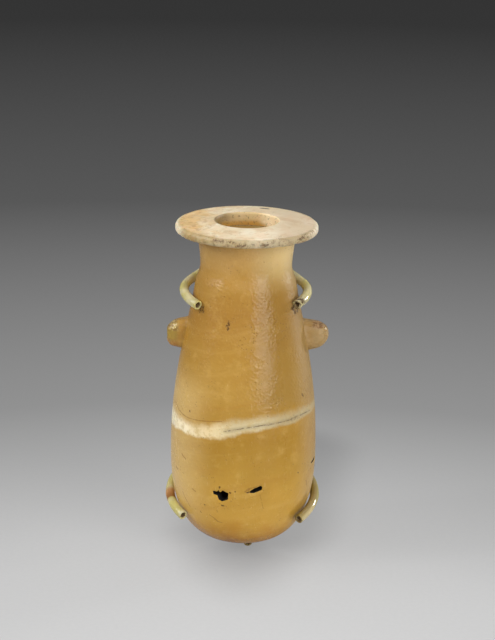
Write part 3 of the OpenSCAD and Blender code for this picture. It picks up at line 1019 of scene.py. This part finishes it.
LINES = (((14.2, 38.3), (17.4, 30.2), 0.2, 0.8), ((-28.6, 24.1), (-24.5, 22.4), 0.3, 0.8),
         ((-24.5, 22.4), (-21.9, 20.7), 0.5, 0.8), ((-21.9, 20.7), (-17.8, 20.1), 0.3, 0.8),
         ((-56.6, 55.2), (-51.3, 53.5), 0.45, 1.0), ((-66, 46), (-64, 45), 0.5, 1.4),
         ((-44, 37.5), (-41, 36.6), 0.4, 1.4), ((-55, 30), (-50, 25.5), 0.3, 1.6),
         ((-58, 33), (-53, 28), 0.25, 1.6), ((2.4, 40.6), (6, 42.2), 0.6, 1.6),
         ((6, 42.2), (14.6, 43.8), 0.35, 1.0), ((62, 40), (64, 37), 0.4, 1.6))
# Painted shadow of the lower right tubing on the stone beside its tip
TUBE_SHADOW_MARK = ((53, 22), (66, 27), 4.6, 5.0)

# Stations of the thin vein above the band
VEIN = ((-74, 81.4), (-64, 78.7), (-56, 77.5), (-49.5, 77.1), (-41, 77.4), (-33, 77.9), (-25, 78.6),
        (-17.6, 79.3))
VEIN_MARKS = tuple((a, b, 0.3, 0.8) for a, b in zip(VEIN, VEIN[1:]))

# Colour of the stone at shares of the vessel's height
STONE_SHADES = ((0.0, (150, 92, 12)), (0.05, (180, 124, 28)), (0.12, (195, 151, 62)), (0.26, (175, 135, 51)),
                (0.36, (164, 123, 41)), (0.5, (178, 138, 63)), (0.62, (174, 132, 57)), (0.74, (166, 122, 52)),
                (0.84, (174, 132, 60)), (0.94, (186, 146, 82)))
PALE_LAYER = (214, 178, 104)
DARK_LAYER = (168, 118, 42)
PALE_MOTTLE = (220, 184, 110)
# Painted light and shade on the vessel's sides: a lit left side, a shaded right side, a rim light along the
# right edge and light glowing through the neck's right side
LIT_LEFT_SIDE = (228, 196, 132)
SHADED_RIGHT_SIDE = (136, 104, 46)
PAINTED_RIM_LIGHT = (168, 142, 100)
PAINTED_NECK_GLOW = (246, 220, 160)
LUG_OLIVE = (156, 132, 62)
LUG_BROWN = (164, 116, 60)
RIGHT_LUG = (164, 136, 90)
# Chips on the left lug are paler partly as painted light, and carry a painted glint
RIGHT_CHIP = (158, 120, 86)
LIT_LEFT_CHIP = (206, 182, 120)
CHIP_FLECK = (104, 70, 34)
PAINTED_CHIP_GLINT = (252, 240, 214)
BAND_MIDDLE = (206, 190, 150)
# Painted light and shade across the band: lit at the left, shaded at the right, with a lit patch at the far
# left
BAND_LIT_LEFT = (234, 214, 168)
BAND_SHADED_RIGHT = (178, 160, 120)
BAND_LIT_PATCH = (254, 240, 204)
BAND_DIRT = (196, 166, 108)
CRACK_DARK = (98, 80, 52)
CRACK_GREY = (150, 136, 104)
SCRATCH_PALE = (226, 204, 158)
LINE_BROWN = (126, 84, 34)
PIT_DARK = (76, 50, 22)
TUBE_SHADOW_OLIVE = (146, 106, 4)


def stone_places(tree):
    """Where a point lies on the vessel: side runs from -1 at the left to 1 at the right."""
    place = place_mm(tree)
    x, y, z = parts_of(tree, place)
    bearing = calc(tree, "ARCTAN2", x, times(tree, y, -1.0))
    position = calc(tree, "MULTIPLY_ADD", bearing, 0.5 / math.pi, 0.5)
    radius = off_axis(tree, x, y)
    side = calc(tree, "DIVIDE", x, calc(tree, "MAXIMUM", radius, 1.0))
    middle = curve_of(tree, position, [(b, m) for b, m, _ in BAND], BAND_LOW, BAND_HIGH)
    half = curve_of(tree, position, [(b, h) for b, _, h in BAND], 0, BAND_HALF_MAX)
    above = calc(tree, "SUBTRACT", z, middle)
    return SimpleNamespace(place=place, x=x, y=y, z=z, bearing=bearing, radius=radius, side=side, above=above,
                           off_band=calc(tree, "DIVIDE", above, half),
                           mottle=grain(tree, place, 0.16, 5, 0.6))


def layered_stone(tree, at, wear):
    """The colour up the height, with clouds, faint layers that follow the band, and both sides: painted light
    on the left, partly the stone's own paler tone, painted shade towards the right, a painted rim light at
    the right edge and a painted glow through the neck's right side.
    """
    drift = calc(tree, "MULTIPLY_ADD", calc(tree, "SUBTRACT", wear["Clouds"], 0.5), 34, at.z)
    body = shades_along(tree, calc(tree, "DIVIDE", drift, VESSEL_H), STONE_SHADES)
    flat_x, flat_y = times(tree, at.x, 0.12), times(tree, at.y, 0.12)
    layer_place = node(tree, "CombineXYZ", {"X": flat_x, "Y": flat_y, "Z": at.above}).outputs["Vector"]
    layers = grain(tree, layer_place, 0.11, 4, 0.6, 0.3)
    body = painted(tree, body, PALE_LAYER, ramp(tree, layers, 0.5, 0.8, 0.0, 0.3))
    body = painted(tree, body, DARK_LAYER, ramp(tree, layers, 0.46, 0.25, 0.0, 0.35))
    body = painted(tree, body, PALE_MOTTLE, ramp(tree, at.mottle, 0.5, 0.75, 0.0, 0.22))
    # Painted light on the left side, partly the stone's own paler tone
    body = painted(tree, body, LIT_LEFT_SIDE, ramp(tree, at.side, -0.35, -0.9, 0.0, 0.5), ramp(tree, at.z, 6, 40),
                   ramp(tree, at.z, 108, 86))
    # Painted shade towards the right side
    body = painted(tree, body, SHADED_RIGHT_SIDE, ramp(tree, at.side, 0.0, 0.48, 0.0, 0.5), ramp(tree, at.z, 78, 92))
    # Painted rim light along the right edge
    body = painted(tree, body, PAINTED_RIM_LIGHT, ramp(tree, at.side, 0.66, 1.0, 0.0, 0.45))
    # Painted glow of light through the neck's thin wall, on its right side
    return painted(tree, body, PAINTED_NECK_GLOW, ramp(tree, at.side, -0.1, 0.85, 0.05, 0.54),
                   ramp(tree, at.z, 143, 168))


def lug_finish(tree, at, body):
    """The lugs: olive, browner below, and paler where the upper edge is chipped, on the left lug partly as
    painted light, with a painted glint there.
    """
    lug = times(tree, ramp(tree, at.radius, 35.5, 38.5), ramp(tree, at.z, 98, 104))
    left = ramp(tree, at.x, 5, -5)
    shade = painted(tree, LUG_OLIVE, LUG_BROWN, ramp(tree, at.z, LUG_Z - 1, LUG_Z - 6))
    shade = painted(tree, shade, RIGHT_LUG, ramp(tree, at.x, -5, 5))
    body = painted(tree, body, shade, lug, 0.8)
    chip_edge = calc(tree, "MULTIPLY_ADD", at.mottle, 9, calc(tree, "MULTIPLY_ADD", left, 2.5, at.z))
    chipped = times(tree, lug, ramp(tree, chip_edge, LUG_Z + 9, LUG_Z + 11))
    # The chipped edge is paler on the left lug, partly painted light from the left
    body = painted(tree, body, painted(tree, RIGHT_CHIP, LIT_LEFT_CHIP, left), chipped, 0.5)
    fleck = grain(tree, at.place, 0.5, 4, 0.7)
    body = painted(tree, body, CHIP_FLECK, chipped, ramp(tree, fleck, 0.47, 0.54, 0.0, 0.7))
    # Painted glint on the left lug's chipped corner
    return painted(tree, body, PAINTED_CHIP_GLINT, chipped, left, ramp(tree, fleck, 0.4, 0.35, 0.0, 0.9))


def band_finish(tree, at, body):
    """The pale band, soft above and crisper below, with painted light at its left and painted shade at its
    right, and its crack, whose mask comes back too.
    """
    place, side = at.place, at.side
    fine = times(tree, calc(tree, "SUBTRACT", grain(tree, place, 0.6, 4), 0.5), 0.35)
    waver = calc(tree, "ADD", calc(tree, "SUBTRACT", grain(tree, place, 0.1, 3), 0.5), fine)
    off = calc(tree, "ADD", at.off_band, waver)
    # Painted light makes the band paler at the left, painted shade darker at the right
    shade = painted(tree, BAND_MIDDLE, BAND_LIT_LEFT, ramp(tree, side, -0.1, -0.48))
    shade = painted(tree, shade, BAND_SHADED_RIGHT, ramp(tree, side, 0.1, 0.7))
    # Painted lit patch at the band's far left
    bright = calc(tree, "MULTIPLY_ADD", at.mottle, 0.4, side)
    shade = painted(tree, shade, BAND_LIT_PATCH, ramp(tree, bright, -0.44, -0.62))
    dirt = grain(tree, place, 0.35, 5, 0.65)
    shade = painted(tree, shade, BAND_DIRT, ramp(tree, dirt, 0.46, 0.66, 0.0, 0.5))
    body = painted(tree, body, shade, ramp(tree, off, 0.1, 1.5, 1.0, 0.0), ramp(tree, off, -1.25, -0.7), 0.92)

    off_crack = calc(tree, "ADD", calc(tree, "SUBTRACT", at.above, CRACK_OFFSET), times(tree, waver, 1.6))
    off_crack = calc(tree, "ABSOLUTE", off_crack)
    reach = times(tree, ramp(tree, at.bearing, -0.32, -0.2), ramp(tree, at.bearing, 1.25, 1.1))
    smudge = ramp(tree, grain(tree, place, 0.2, 3), 0.5, 0.66, 0.45, 1.3)
    crack = times(tree, ramp(tree, off_crack, 0.1, smudge, 1.0, 0.0), reach)
    dashes = ramp(tree, grain(tree, place, 0.36, 5, 0.75), 0.44, 0.56, 0.0, 0.9)
    body = painted(tree, body, CRACK_DARK, crack, dashes)
    return painted(tree, body, CRACK_GREY, ramp(tree, off_crack, 0.4, 2.0, 0.35, 0.0), reach), crack


def marked_stone(tree, at, wear, body):
    """Scratches, brown lines, the painted olive shadow beside the lower right tubing and pits, whose mask
    comes back too.
    """
    line = side_line()
    pits = calc(tree, "MAXIMUM", marks_of(tree, at.place, PITS_AND_FLECKS, line), times(tree, wear["Pits"], 0.4))
    body = painted(tree, body, SCRATCH_PALE, wear["Scratches"], 0.16)
    body = painted(tree, body, LINE_BROWN, marks_of(tree, at.place, LINES + VEIN_MARKS, line), 0.5)
    body = painted(tree, body, PIT_DARK, pits, 0.8)
    # Painted olive shadow beside the lower right tubing's tip
    return painted(tree, body, TUBE_SHADOW_OLIVE, marks_of(tree, at.place, (TUBE_SHADOW_MARK,), line), 0.6), pits


def honey_stone():
    material, tree, shader = new_finish(
        "Honey stone", IOR=1.5, Specular_IOR_Level=0.3, Anisotropic=0.75, Anisotropic_Rotation=0.25,
        Subsurface_Weight=0.2, Subsurface_Scale=0.004, Subsurface_Radius=(1.0, 0.7, 0.35))
    at = stone_places(tree)
    wear = stone_wear(tree, at.place, 0.18)
    body = lug_finish(tree, at, layered_stone(tree, at, wear))
    body, crack = band_finish(tree, at, body)
    body, pits = marked_stone(tree, at, wear, body)
    rough = ramp(tree, wear["Clouds"], 0.3, 0.7, 0.17, 0.23)
    for more in (times(tree, wear["Scratches"], 0.14),
                 ramp(tree, grain(tree, at.place, 0.5, 4, 0.7), 0.35, 0.65, -0.03, 0.05),
                 ramp(tree, at.side, 0.5, 0.7, 0.0, 0.2)):
        rough = calc(tree, "ADD", rough, more)
    feed(tree, shader, Base_Color=body, Roughness=rough)
    crystals = node(tree, "TexVoronoi", {"Vector": at.place, "Scale": 0.6}).outputs["Distance"]
    coarse = ramp(tree, grain(tree, at.place, 0.09, 3), 0.4, 0.6, 0.3, 1.0)
    height = calc(tree, "MULTIPLY_ADD", crystals, coarse, wear["Height"])
    height = calc(tree, "SUBTRACT", height, calc(tree, "ADD", pits, times(tree, crack, 0.6)))
    set_bump(tree, shader, height, 0.5, 0.4)
    return material


INSIDE_HONEY = (170, 124, 60)
INSIDE_SHADED = (46, 32, 18)
INSIDE_DEEP_SHADE = (30, 20, 12)


def inside_stone():
    """The hollow below the neck, painted dark as painted shade, darker further down and mottled."""
    material, tree, shader = new_finish("Shaded inside", Roughness=0.85)
    place = place_mm(tree)
    _, _, z = parts_of(tree, place)
    # Painted shade inside the hollow, darker further down
    stain = calc(tree, "MULTIPLY_ADD", grain(tree, place, 0.08, 4), 20, z)
    body = painted(tree, INSIDE_HONEY, INSIDE_SHADED, ramp(tree, stain, 165, 125))
    feed(tree, shader, Base_Color=painted(tree, body, INSIDE_DEEP_SHADE, grain(tree, place, 0.5, 4)))
    set_bump(tree, shader, grain(tree, place, 0.9, 5), 0.5, 0.5)
    return material


BROKEN_EDGE = (110, 76, 34)
BROKEN_SHADED_DEEP = (14, 10, 6)


def broken_stone():
    """The broken walls of the losses, painted darker further in as painted shade."""
    material, tree, shader = new_finish("Broken stone", Roughness=0.8)
    place = place_mm(tree)
    x, y, _ = parts_of(tree, place)
    radius = calc(tree, "ADD", off_axis(tree, x, y), grain(tree, place, 0.9, 4))
    depth = calc(tree, "SUBTRACT", BELLY_R, radius)
    # Painted shade deeper inside the losses
    feed(tree, shader, Base_Color=painted(tree, BROKEN_EDGE, BROKEN_SHADED_DEEP, ramp(tree, depth, -0.6, -0.1)))
    set_bump(tree, shader, grain(tree, place, 1.4, 6, 0.65), 0.8, 0.6)
    return material


# The disc's pale stone and its cement

# Dark patches on the disc's edge, each from one bearing and drop below the top to another, and half its width
EDGE_PATCHES = (((-7, 4.6), (-2, 4.4), 0.7), ((4, 3.6), (7, 4.2), 0.6), ((11, 4.6), (16, 4.4), 0.9),
                ((23, 5.6), (27, 5.4), 0.5), ((46, 3.4), (51, 3.0), 0.7), ((-27, 2.2), (-22, 2.6), 0.5),
                ((-17, 2.2), (-11, 2.8), 0.6))
PATCH_WAVER = 5.0

# The dark spot at the back of the disc's top
SPOT_Z = VESSEL_H - 1.2
SPOT = ((8.4, 31.0, SPOT_Z), (10.6, 29.9, SPOT_Z), 1.7, 3.0)

DISC_CREAM = (226, 206, 168)
DISC_PALE = (242, 230, 204)
DISC_GOLDEN = (226, 184, 112)
DISC_VEIN = (208, 170, 116)
DISC_FLUSH = (236, 208, 172)
DISC_RIGHT = (196, 170, 140)
DISC_BLOTCH = (196, 162, 104)
DISC_STAIN = (176, 132, 72)
EDGE_DULL = (154, 134, 86)
EDGE_PAINTED_HIGHLIGHT = (252, 240, 210)
EDGE_GRIME = (104, 76, 40)
EDGE_PATCH = (88, 60, 28)
MOUTH_WALL = (204, 172, 112)
MOUTH_SHADED_LEFT = (118, 92, 42)
MOUTH_LIT_RIGHT = (255, 228, 178)
MOUTH_DEEP = (196, 146, 66)
MOUTH_SPECK = (110, 84, 46)
DISC_PIT = (130, 104, 66)
SPOT_DARK = (44, 32, 20)


def veined_stone(tree, place, x, wear):
    """Cream stone with golden clouds at the left, veins, a flush and blotches."""
    body = painted(tree, DISC_CREAM, DISC_PALE, ramp(tree, wear["Clouds"], 0.35, 0.65))
    veins = grain(tree, place, 0.07, 6, 0.6, 1.2)
    golden = calc(tree, "MULTIPLY_ADD", calc(tree, "SUBTRACT", veins, 0.5), 60, x)
    body = painted(tree, body, DISC_GOLDEN, ramp(tree, golden, -14, -34, 0.0, 0.8))
    body = painted(tree, body, DISC_VEIN, ramp(tree, veins, 0.52, 0.62, 0.0, 0.5))
    flush = grain(tree, vector_calc(tree, "ADD", place, (40.0, 0.0, 0.0)), 0.09, 4, 0.6, 0.8)
    body = painted(tree, body, DISC_FLUSH, ramp(tree, flush, 0.5, 0.66, 0.0, 0.5))
    body = painted(tree, body, DISC_RIGHT, ramp(tree, x, 6, 26, 0.0, 0.5))
    blotch = grain(tree, vector_calc(tree, "ADD", place, (0.0, 25.0, 0.0)), 0.13, 5, 0.65, 1.0)
    return painted(tree, body, DISC_BLOTCH, ramp(tree, blotch, 0.5, 0.6), ramp(tree, x, 20, -20, 0.15, 0.5))


def edge_finish(tree, place, x, radius, body):
    """The disc's edge, dull but for painted highlights at both ends, and its grime, whose mask comes back
    too.
    """
    stain = ramp(tree, grain(tree, place, 0.2, 5, 0.7), 0.5, 0.64)
    body = painted(tree, body, DISC_STAIN, ramp(tree, x, -8, -26), stain, 0.55)
    edge = ramp(tree, radius, DISC_R - 3.0, DISC_R - 0.8)
    grime = times(tree, edge, ramp(tree, grain(tree, place, 0.6, 5, 0.7), 0.48, 0.62),
                  ramp(tree, grain(tree, place, 0.07, 2), 0.42, 0.56, 0.15, 1.0),
                  ramp(tree, x, -28, -12, 0.2, 1.0))
    body = painted(tree, body, EDGE_DULL, edge, 0.65)
    # Painted highlights on the edge at both ends
    highlight_ends = ramp(tree, calc(tree, "ABSOLUTE", x), DISC_R - 7, DISC_R - 0.5, 0.0, 0.75)
    body = painted(tree, body, EDGE_PAINTED_HIGHLIGHT, edge, highlight_ends)
    body = painted(tree, body, EDGE_GRIME, grime, 0.75)
    for start, end, half_width in EDGE_PATCHES:
        ends = [tuple(on_vessel(b, DISC_R, VESSEL_H - drop)) for b, drop in (start, end)]
        body = painted(tree, body, EDGE_PATCH, mark(tree, place, *ends, half_width, PATCH_WAVER), 0.75)
    return body, grime


def mouth_finish(tree, place, x, z, radius, body):
    """The mouth's wall: painted shade at the left, painted light at the right, golden deeper down, with
    specks.
    """
    mouth = ramp(tree, radius, MOUTH_R + 1.2, MOUTH_R + 0.3)
    # Painted shade on the mouth's left wall and painted light on its right wall
    shade = painted(tree, MOUTH_WALL, MOUTH_SHADED_LEFT, ramp(tree, x, -4, -15))
    shade = painted(tree, shade, MOUTH_LIT_RIGHT, ramp(tree, x, 4, 14))
    body = painted(tree, body, shade, mouth, 0.75)
    deep = calc(tree, "ADD", z, ramp(tree, x, 4, 14, 0.0, 3.0))
    deep = calc(tree, "MULTIPLY_ADD", grain(tree, place, 0.3, 3), 2, deep)
    body = painted(tree, body, MOUTH_DEEP, mouth, ramp(tree, deep, VESSEL_H - 2.0, VESSEL_H - 5.5))
    specks = ramp(tree, grain(tree, place, 0.6, 5, 0.7), 0.54, 0.68)
    return painted(tree, body, MOUTH_SPECK, mouth, specks, 0.7)


def pale_stone():
    material, tree, shader = new_finish("Pale stone", IOR=1.5, Subsurface_Weight=0.1, Subsurface_Scale=0.003)
    place = place_mm(tree)
    x, y, z = parts_of(tree, place)
    radius = off_axis(tree, x, y)
    wear = stone_wear(tree, place, 0.2)
    body, grime = edge_finish(tree, place, x, radius, veined_stone(tree, place, x, wear))
    body = mouth_finish(tree, place, x, z, radius, body)
    body = painted(tree, body, DISC_PIT, wear["Pits"], 0.45)
    body = painted(tree, body, SPOT_DARK, mark(tree, place, *SPOT), 0.9)
    feed(tree, shader, Base_Color=body, Roughness=ramp(tree, wear["Clouds"], 0.3, 0.7, 0.4, 0.58))
    set_bump(tree, shader, calc(tree, "SUBTRACT", wear["Height"], times(tree, grime, 0.4)), 0.45, 0.5)
    return material


CEMENT_DARK = (128, 108, 76)
CEMENT_PALE = (186, 168, 132)


def cement():
    material, tree, shader = new_finish("Bedding cement", Roughness=0.9)
    sand = ramp(tree, grain(tree, place_mm(tree), 1.5, 5), 0.35, 0.65)
    feed(tree, shader, Base_Color=painted(tree, CEMENT_DARK, CEMENT_PALE, sand))
    set_bump(tree, shader, sand, 0.5, 0.3)
    return material


# The mount's finishes

BRASS_BRIGHT = (206, 160, 86)
BRASS_AGED = (168, 106, 52)
BRASS_SPECK = (110, 70, 34)


def aged_brass():
    material, tree, shader = new_finish("Aged brass")
    place = place_mm(tree)
    patina = ramp(tree, grain(tree, place, 0.22, 6, 0.6), 0.4, 0.68)
    specks = ramp(tree, grain(tree, place, 1.6, 4), 0.55, 0.7)
    body = painted(tree, BRASS_BRIGHT, BRASS_AGED, patina)
    feed(tree, shader, Base_Color=painted(tree, body, BRASS_SPECK, specks, 0.4),
         Metallic=calc(tree, "MULTIPLY_ADD", patina, -0.55, 0.95),
         Roughness=calc(tree, "MULTIPLY_ADD", patina, 0.2, 0.3))
    lines = grain(tree, vector_calc(tree, "MULTIPLY", place, (3.0, 3.0, 0.3)), 1.0, 4, 0.7)
    set_bump(tree, shader, calc(tree, "SUBTRACT", lines, specks), 0.15, 0.1)
    return material


TUBE_CLEAR = (252, 243, 196)
TUBE_YELLOW = (238, 226, 140)
ROD_PALE = (226, 160, 92)
ROD_BROWN = (176, 98, 34)
TUBE_TIP = (242, 222, 166)
TUBE_OLIVE = (196, 184, 112)
STONE_BEHIND = (186, 158, 94)
STONE_BESIDE = (160, 128, 40)
TIP_SHADE_FLECK = (94, 54, 26)
# Places along y where the rod's end begins and ends to show, and where the upper right tip's painted shade
# lies
ROD_END_Y = (-8.2, -7.2)
ROD_FADE_Y = (3.0, -1.4)
SHADED_TIP_Y = (-10.0, -14.0)


def clear_tubing():
    material, tree, shader = new_finish("Yellowed tubing", IOR=1.47, Transmission_Weight=0.48)
    place = place_mm(tree)
    x, y, z = parts_of(tree, place)
    left, right = calc(tree, "LESS_THAN", x, 0.0), calc(tree, "GREATER_THAN", x, 0.0)
    low, high = calc(tree, "LESS_THAN", z, BELLY_Z), calc(tree, "GREATER_THAN", z, BELLY_Z)
    haze = grain(tree, place, 0.12, 4)
    body = painted(tree, TUBE_CLEAR, TUBE_YELLOW, ramp(tree, haze, 0.35, 0.65))
    # The rod's end shows through at the lower left
    shade = painted(tree, ROD_PALE, ROD_BROWN, ramp(tree, y, -1.0, -7.0))
    body = painted(tree, body, shade, ramp(tree, y, *ROD_END_Y), ramp(tree, y, *ROD_FADE_Y), left, low, 0.85)
    # The lower right one is painted with what is seen through it: olive behind, pale at its tip, and darker
    # towards its left-facing side as painted shade where the stone shows through
    facing_x, _, _ = parts_of(tree, node(tree, "TexCoord").outputs["Normal"])
    shade = painted(tree, TUBE_TIP, TUBE_OLIVE, ramp(tree, y, -16.0, -4.0))
    shade = painted(tree, shade, STONE_BEHIND, ramp(tree, facing_x, 0.85, 0.35))
    shade = painted(tree, shade, STONE_BESIDE, ramp(tree, facing_x, 0.35, -0.4))
    body = painted(tree, body, shade, right, low, 0.85)
    # The upper right tip is painted with brown flecks, painted shade seen through its clear end
    flecks = ramp(tree, grain(tree, place, 0.55, 4, 0.7), 0.45, 0.55)
    body = painted(tree, body, TIP_SHADE_FLECK, ramp(tree, y, *SHADED_TIP_Y), flecks, right, high, 0.85)
    feed(tree, shader, Base_Color=body, Roughness=ramp(tree, haze, 0.3, 0.7, 0.04, 0.12))
    set_bump(tree, shader, grain(tree, place, 0.25, 2), 0.05, 0.2)
    return material


# Painted shade and grime in the tubing's tips
BORE_DARK = (108, 84, 52)
BORE_PALE = (168, 144, 104)


def shade_and_grime_lining():
    """Painted shade and grime inside the tubing's tips."""
    material, tree, shader = new_finish("Shaded grimy bore", Roughness=0.7)
    grime = ramp(tree, grain(tree, place_mm(tree), 0.9, 4), 0.35, 0.65)
    feed(tree, shader, Base_Color=painted(tree, BORE_DARK, BORE_PALE, grime))
    return material


# The floor, in metres

FLOOR_OWN_SHADE = 0.7
FLOOR_BRIGHTEST = (0.0, -0.25, 0.0)
FLOOR_REACH = 2.0
# Grey of the floor at shares of its reach from the brightest place
FLOOR_SHADES = ((0.04, 206), (0.1, 199), (0.14, 185), (0.233, 145), (0.5, 86), (0.92, 49))
FLOOR_SPECK = (128, 128, 128)

# Painted shadow round the foot, longer towards the front, and along a line behind it where the vessel's
# shadow falls
FOOT = (AXIS.x, AXIS.y, 0.0)
FOOT_SHADOW_R = 0.045
FOOT_SHADOW_STRETCH = (1.0, 0.45, 0.0)
FOOT_SHADOW_DEPTH = 0.3
BACK_SHADOW = ((0.006, -0.018, 0.0), (0.022, 0.12, 0.0))
BACK_SHADOW_DEPTH = 0.22
BLACK = (0, 0, 0)


def studio_floor():
    """Pale grey sweep that falls off into shade behind the vessel, with a painted shadow round its foot."""
    material, tree, shader = new_finish("Studio floor", Roughness=0.9)
    place = node(tree, "TexCoord").outputs["Object"]
    far = calc(tree, "DIVIDE", vector_calc(tree, "DISTANCE", place, FLOOR_BRIGHTEST), FLOOR_REACH)
    shade = shades_along(tree, far, [(share, (grey, grey, grey)) for share, grey in FLOOR_SHADES])
    speck = grain(tree, place, 400, 2)
    shade = painted(tree, shade, FLOOR_SPECK, ramp(tree, speck, 0.3, 0.7, 0.0, 0.03))
    # Painted shadow round the foot and behind it
    from_foot = vector_calc(tree, "MULTIPLY", vector_calc(tree, "SUBTRACT", place, FOOT), FOOT_SHADOW_STRETCH)
    front = ramp(tree, vector_calc(tree, "LENGTH", from_foot), 0.0, FOOT_SHADOW_R, FOOT_SHADOW_DEPTH, 0.0)
    back = times(tree, mark(tree, place, *BACK_SHADOW, FOOT_SHADOW_R), BACK_SHADOW_DEPTH)
    shade = painted(tree, shade, BLACK, calc(tree, "MAXIMUM", front, back))
    feed(tree, shader, Base_Color=shade)
    glow = node(tree, "Emission", {"Color": shade}).outputs["Emission"]
    rays = node(tree, "LightPath").outputs
    seen = calc(tree, "MAXIMUM", rays["Is Camera Ray"],
                calc(tree, "MAXIMUM", rays["Is Glossy Ray"], rays["Is Transmission Ray"]))
    own = times(tree, seen, FLOOR_OWN_SHADE)
    both = node(tree, "MixShader", {0: own, 1: shader.outputs["BSDF"], 2: glow})
    tree.links.new(both.outputs["Shader"], tree.nodes["Material Output"].inputs["Surface"])
    return material


# Pieces

FILED_EDGE = 0.5
FILED_ANGLE = 60


def finished_node(name, material):
    """A piece of the frame that keeps its shape, with its finish."""
    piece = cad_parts[name]
    piece.data.materials.clear()
    piece.data.materials.append(material)
    return piece


def build_vessel():
    vessel_body(honey_stone(), inside_stone(), broken_stone())
    mouth_disc(pale_stone())
    finished_node("mouth_bedding", cement())


def build_mount():
    brass, tube, bore = aged_brass(), clear_tubing(), shade_and_grime_lining()
    shapes = {"left": mirrored, "right": lambda shape: shape}
    for side, turn in shapes.items():
        body = f"upper_{side}_clip"
        prong = add_piece(f"bent_prong_{side}", *turn(upper_prong()), body, "brass", (brass,))
        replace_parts(prong, f"upper_{side}_prong")
        upper = add_piece(f"shoulder_tubing_{side}", *turn(sleeve(UPPER, side)), body, "tubing", (tube, bore))
        shade_bore_tips(upper)
        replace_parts(upper, f"upper_{side}_sleeve")
        lower = add_piece(f"base_tubing_{side}", *turn(sleeve(LOWER, side)), "stand", "tubing", (tube, bore))
        shade_bore_tips(lower)
        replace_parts(lower, f"lower_{side}_sleeve")
    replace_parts(add_piece("base_clip_rod", *lower_clip(), "stand", "brass", (brass,)), "lower_clip")
    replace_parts(add_piece("rest_rod", *bottom_rest(), "stand", "brass", (brass,)), "bottom_rest")
    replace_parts(add_piece("rest_tubing", *bottom_sleeve(), "stand", "tubing", (tube,)), "bottom_sleeve")
    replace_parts(add_piece("turned_post", *post(), "stand", "brass", (brass,), Vector((0, 0, 0))), "post")
    bevel = finished_node("clip_head", brass).modifiers.new("Filed edges", "BEVEL")
    bevel.width = FILED_EDGE * MM
    bevel.segments = 3
    bevel.limit_method = "ANGLE"
    bevel.angle_limit = math.radians(FILED_ANGLE)


def build_floor():
    row = FLOOR_CELLS + 1
    verts = [Vector((FLOOR_HALF * (2 * i / FLOOR_CELLS - 1), FLOOR_HALF * (2 * j / FLOOR_CELLS - 1), 0))
             for i in range(row) for j in range(row)]
    corners = [i * row + j for i in range(FLOOR_CELLS) for j in range(FLOOR_CELLS)]
    faces = [(c, c + row, c + row + 1, c + 1) for c in corners]
    mesh = bpy.data.meshes.new("floor")
    mesh.from_pydata(verts, [], faces)
    mesh.materials.append(studio_floor())
    floor = bpy.data.objects.new("floor", mesh)
    bpy.context.scene.collection.objects.link(floor)


def add_softbox(name, bearing, elevation, distance, size, power):
    """A soft lamp that looks at the vessel's middle."""
    data = bpy.data.lights.new(name, "AREA")
    data.shape = "RECTANGLE"
    data.size, data.size_y = size
    data.energy = power
    lamp = bpy.data.objects.new(name, data)
    turn, rise = math.radians(bearing), math.radians(elevation)
    away = Vector((math.sin(turn) * math.cos(rise), -math.cos(turn) * math.cos(rise), math.sin(rise)))
    middle = AXIS + Vector((0, 0, LAMP_AIM_Z * MM))
    lamp.location = middle + away * distance
    lamp.rotation_mode = "QUATERNION"
    lamp.rotation_quaternion = (-away).to_track_quat("-Z", "Y")
    bpy.context.scene.collection.objects.link(lamp)


def build_light():
    for name, values in LAMPS.items():
        add_softbox(name, *values)
    world = bpy.data.worlds.new("Studio")
    world.use_nodes = True
    background = world.node_tree.nodes["Background"].inputs
    background["Color"].default_value = (1, 1, 1, 1)
    background["Strength"].default_value = WORLD_LIGHT
    bpy.context.scene.world = world


def build_camera():
    data = bpy.data.cameras.new("camera")
    data.sensor_width = SENSOR
    data.lens = SENSOR * FOCAL_PIXELS / IMAGE_LONG_SIDE
    rise = math.radians(CAMERA_ELEVATION)
    back = Vector((0, -math.cos(rise), math.sin(rise)))
    camera = bpy.data.objects.new("camera", data)
    camera.location = CAMERA_TARGET + back * CAMERA_DISTANCE
    camera.rotation_mode = "QUATERNION"
    roll = Quaternion((0, 0, 1), math.radians(CAMERA_ROLL))
    camera.rotation_quaternion = (-back).to_track_quat("-Z", "Y") @ roll
    bpy.context.scene.collection.objects.link(camera)
    bpy.context.scene.camera = camera


build_camera()
build_floor()
build_light()
build_vessel()
build_mount()
bpy.context.scene.view_settings.view_transform = "Standard"
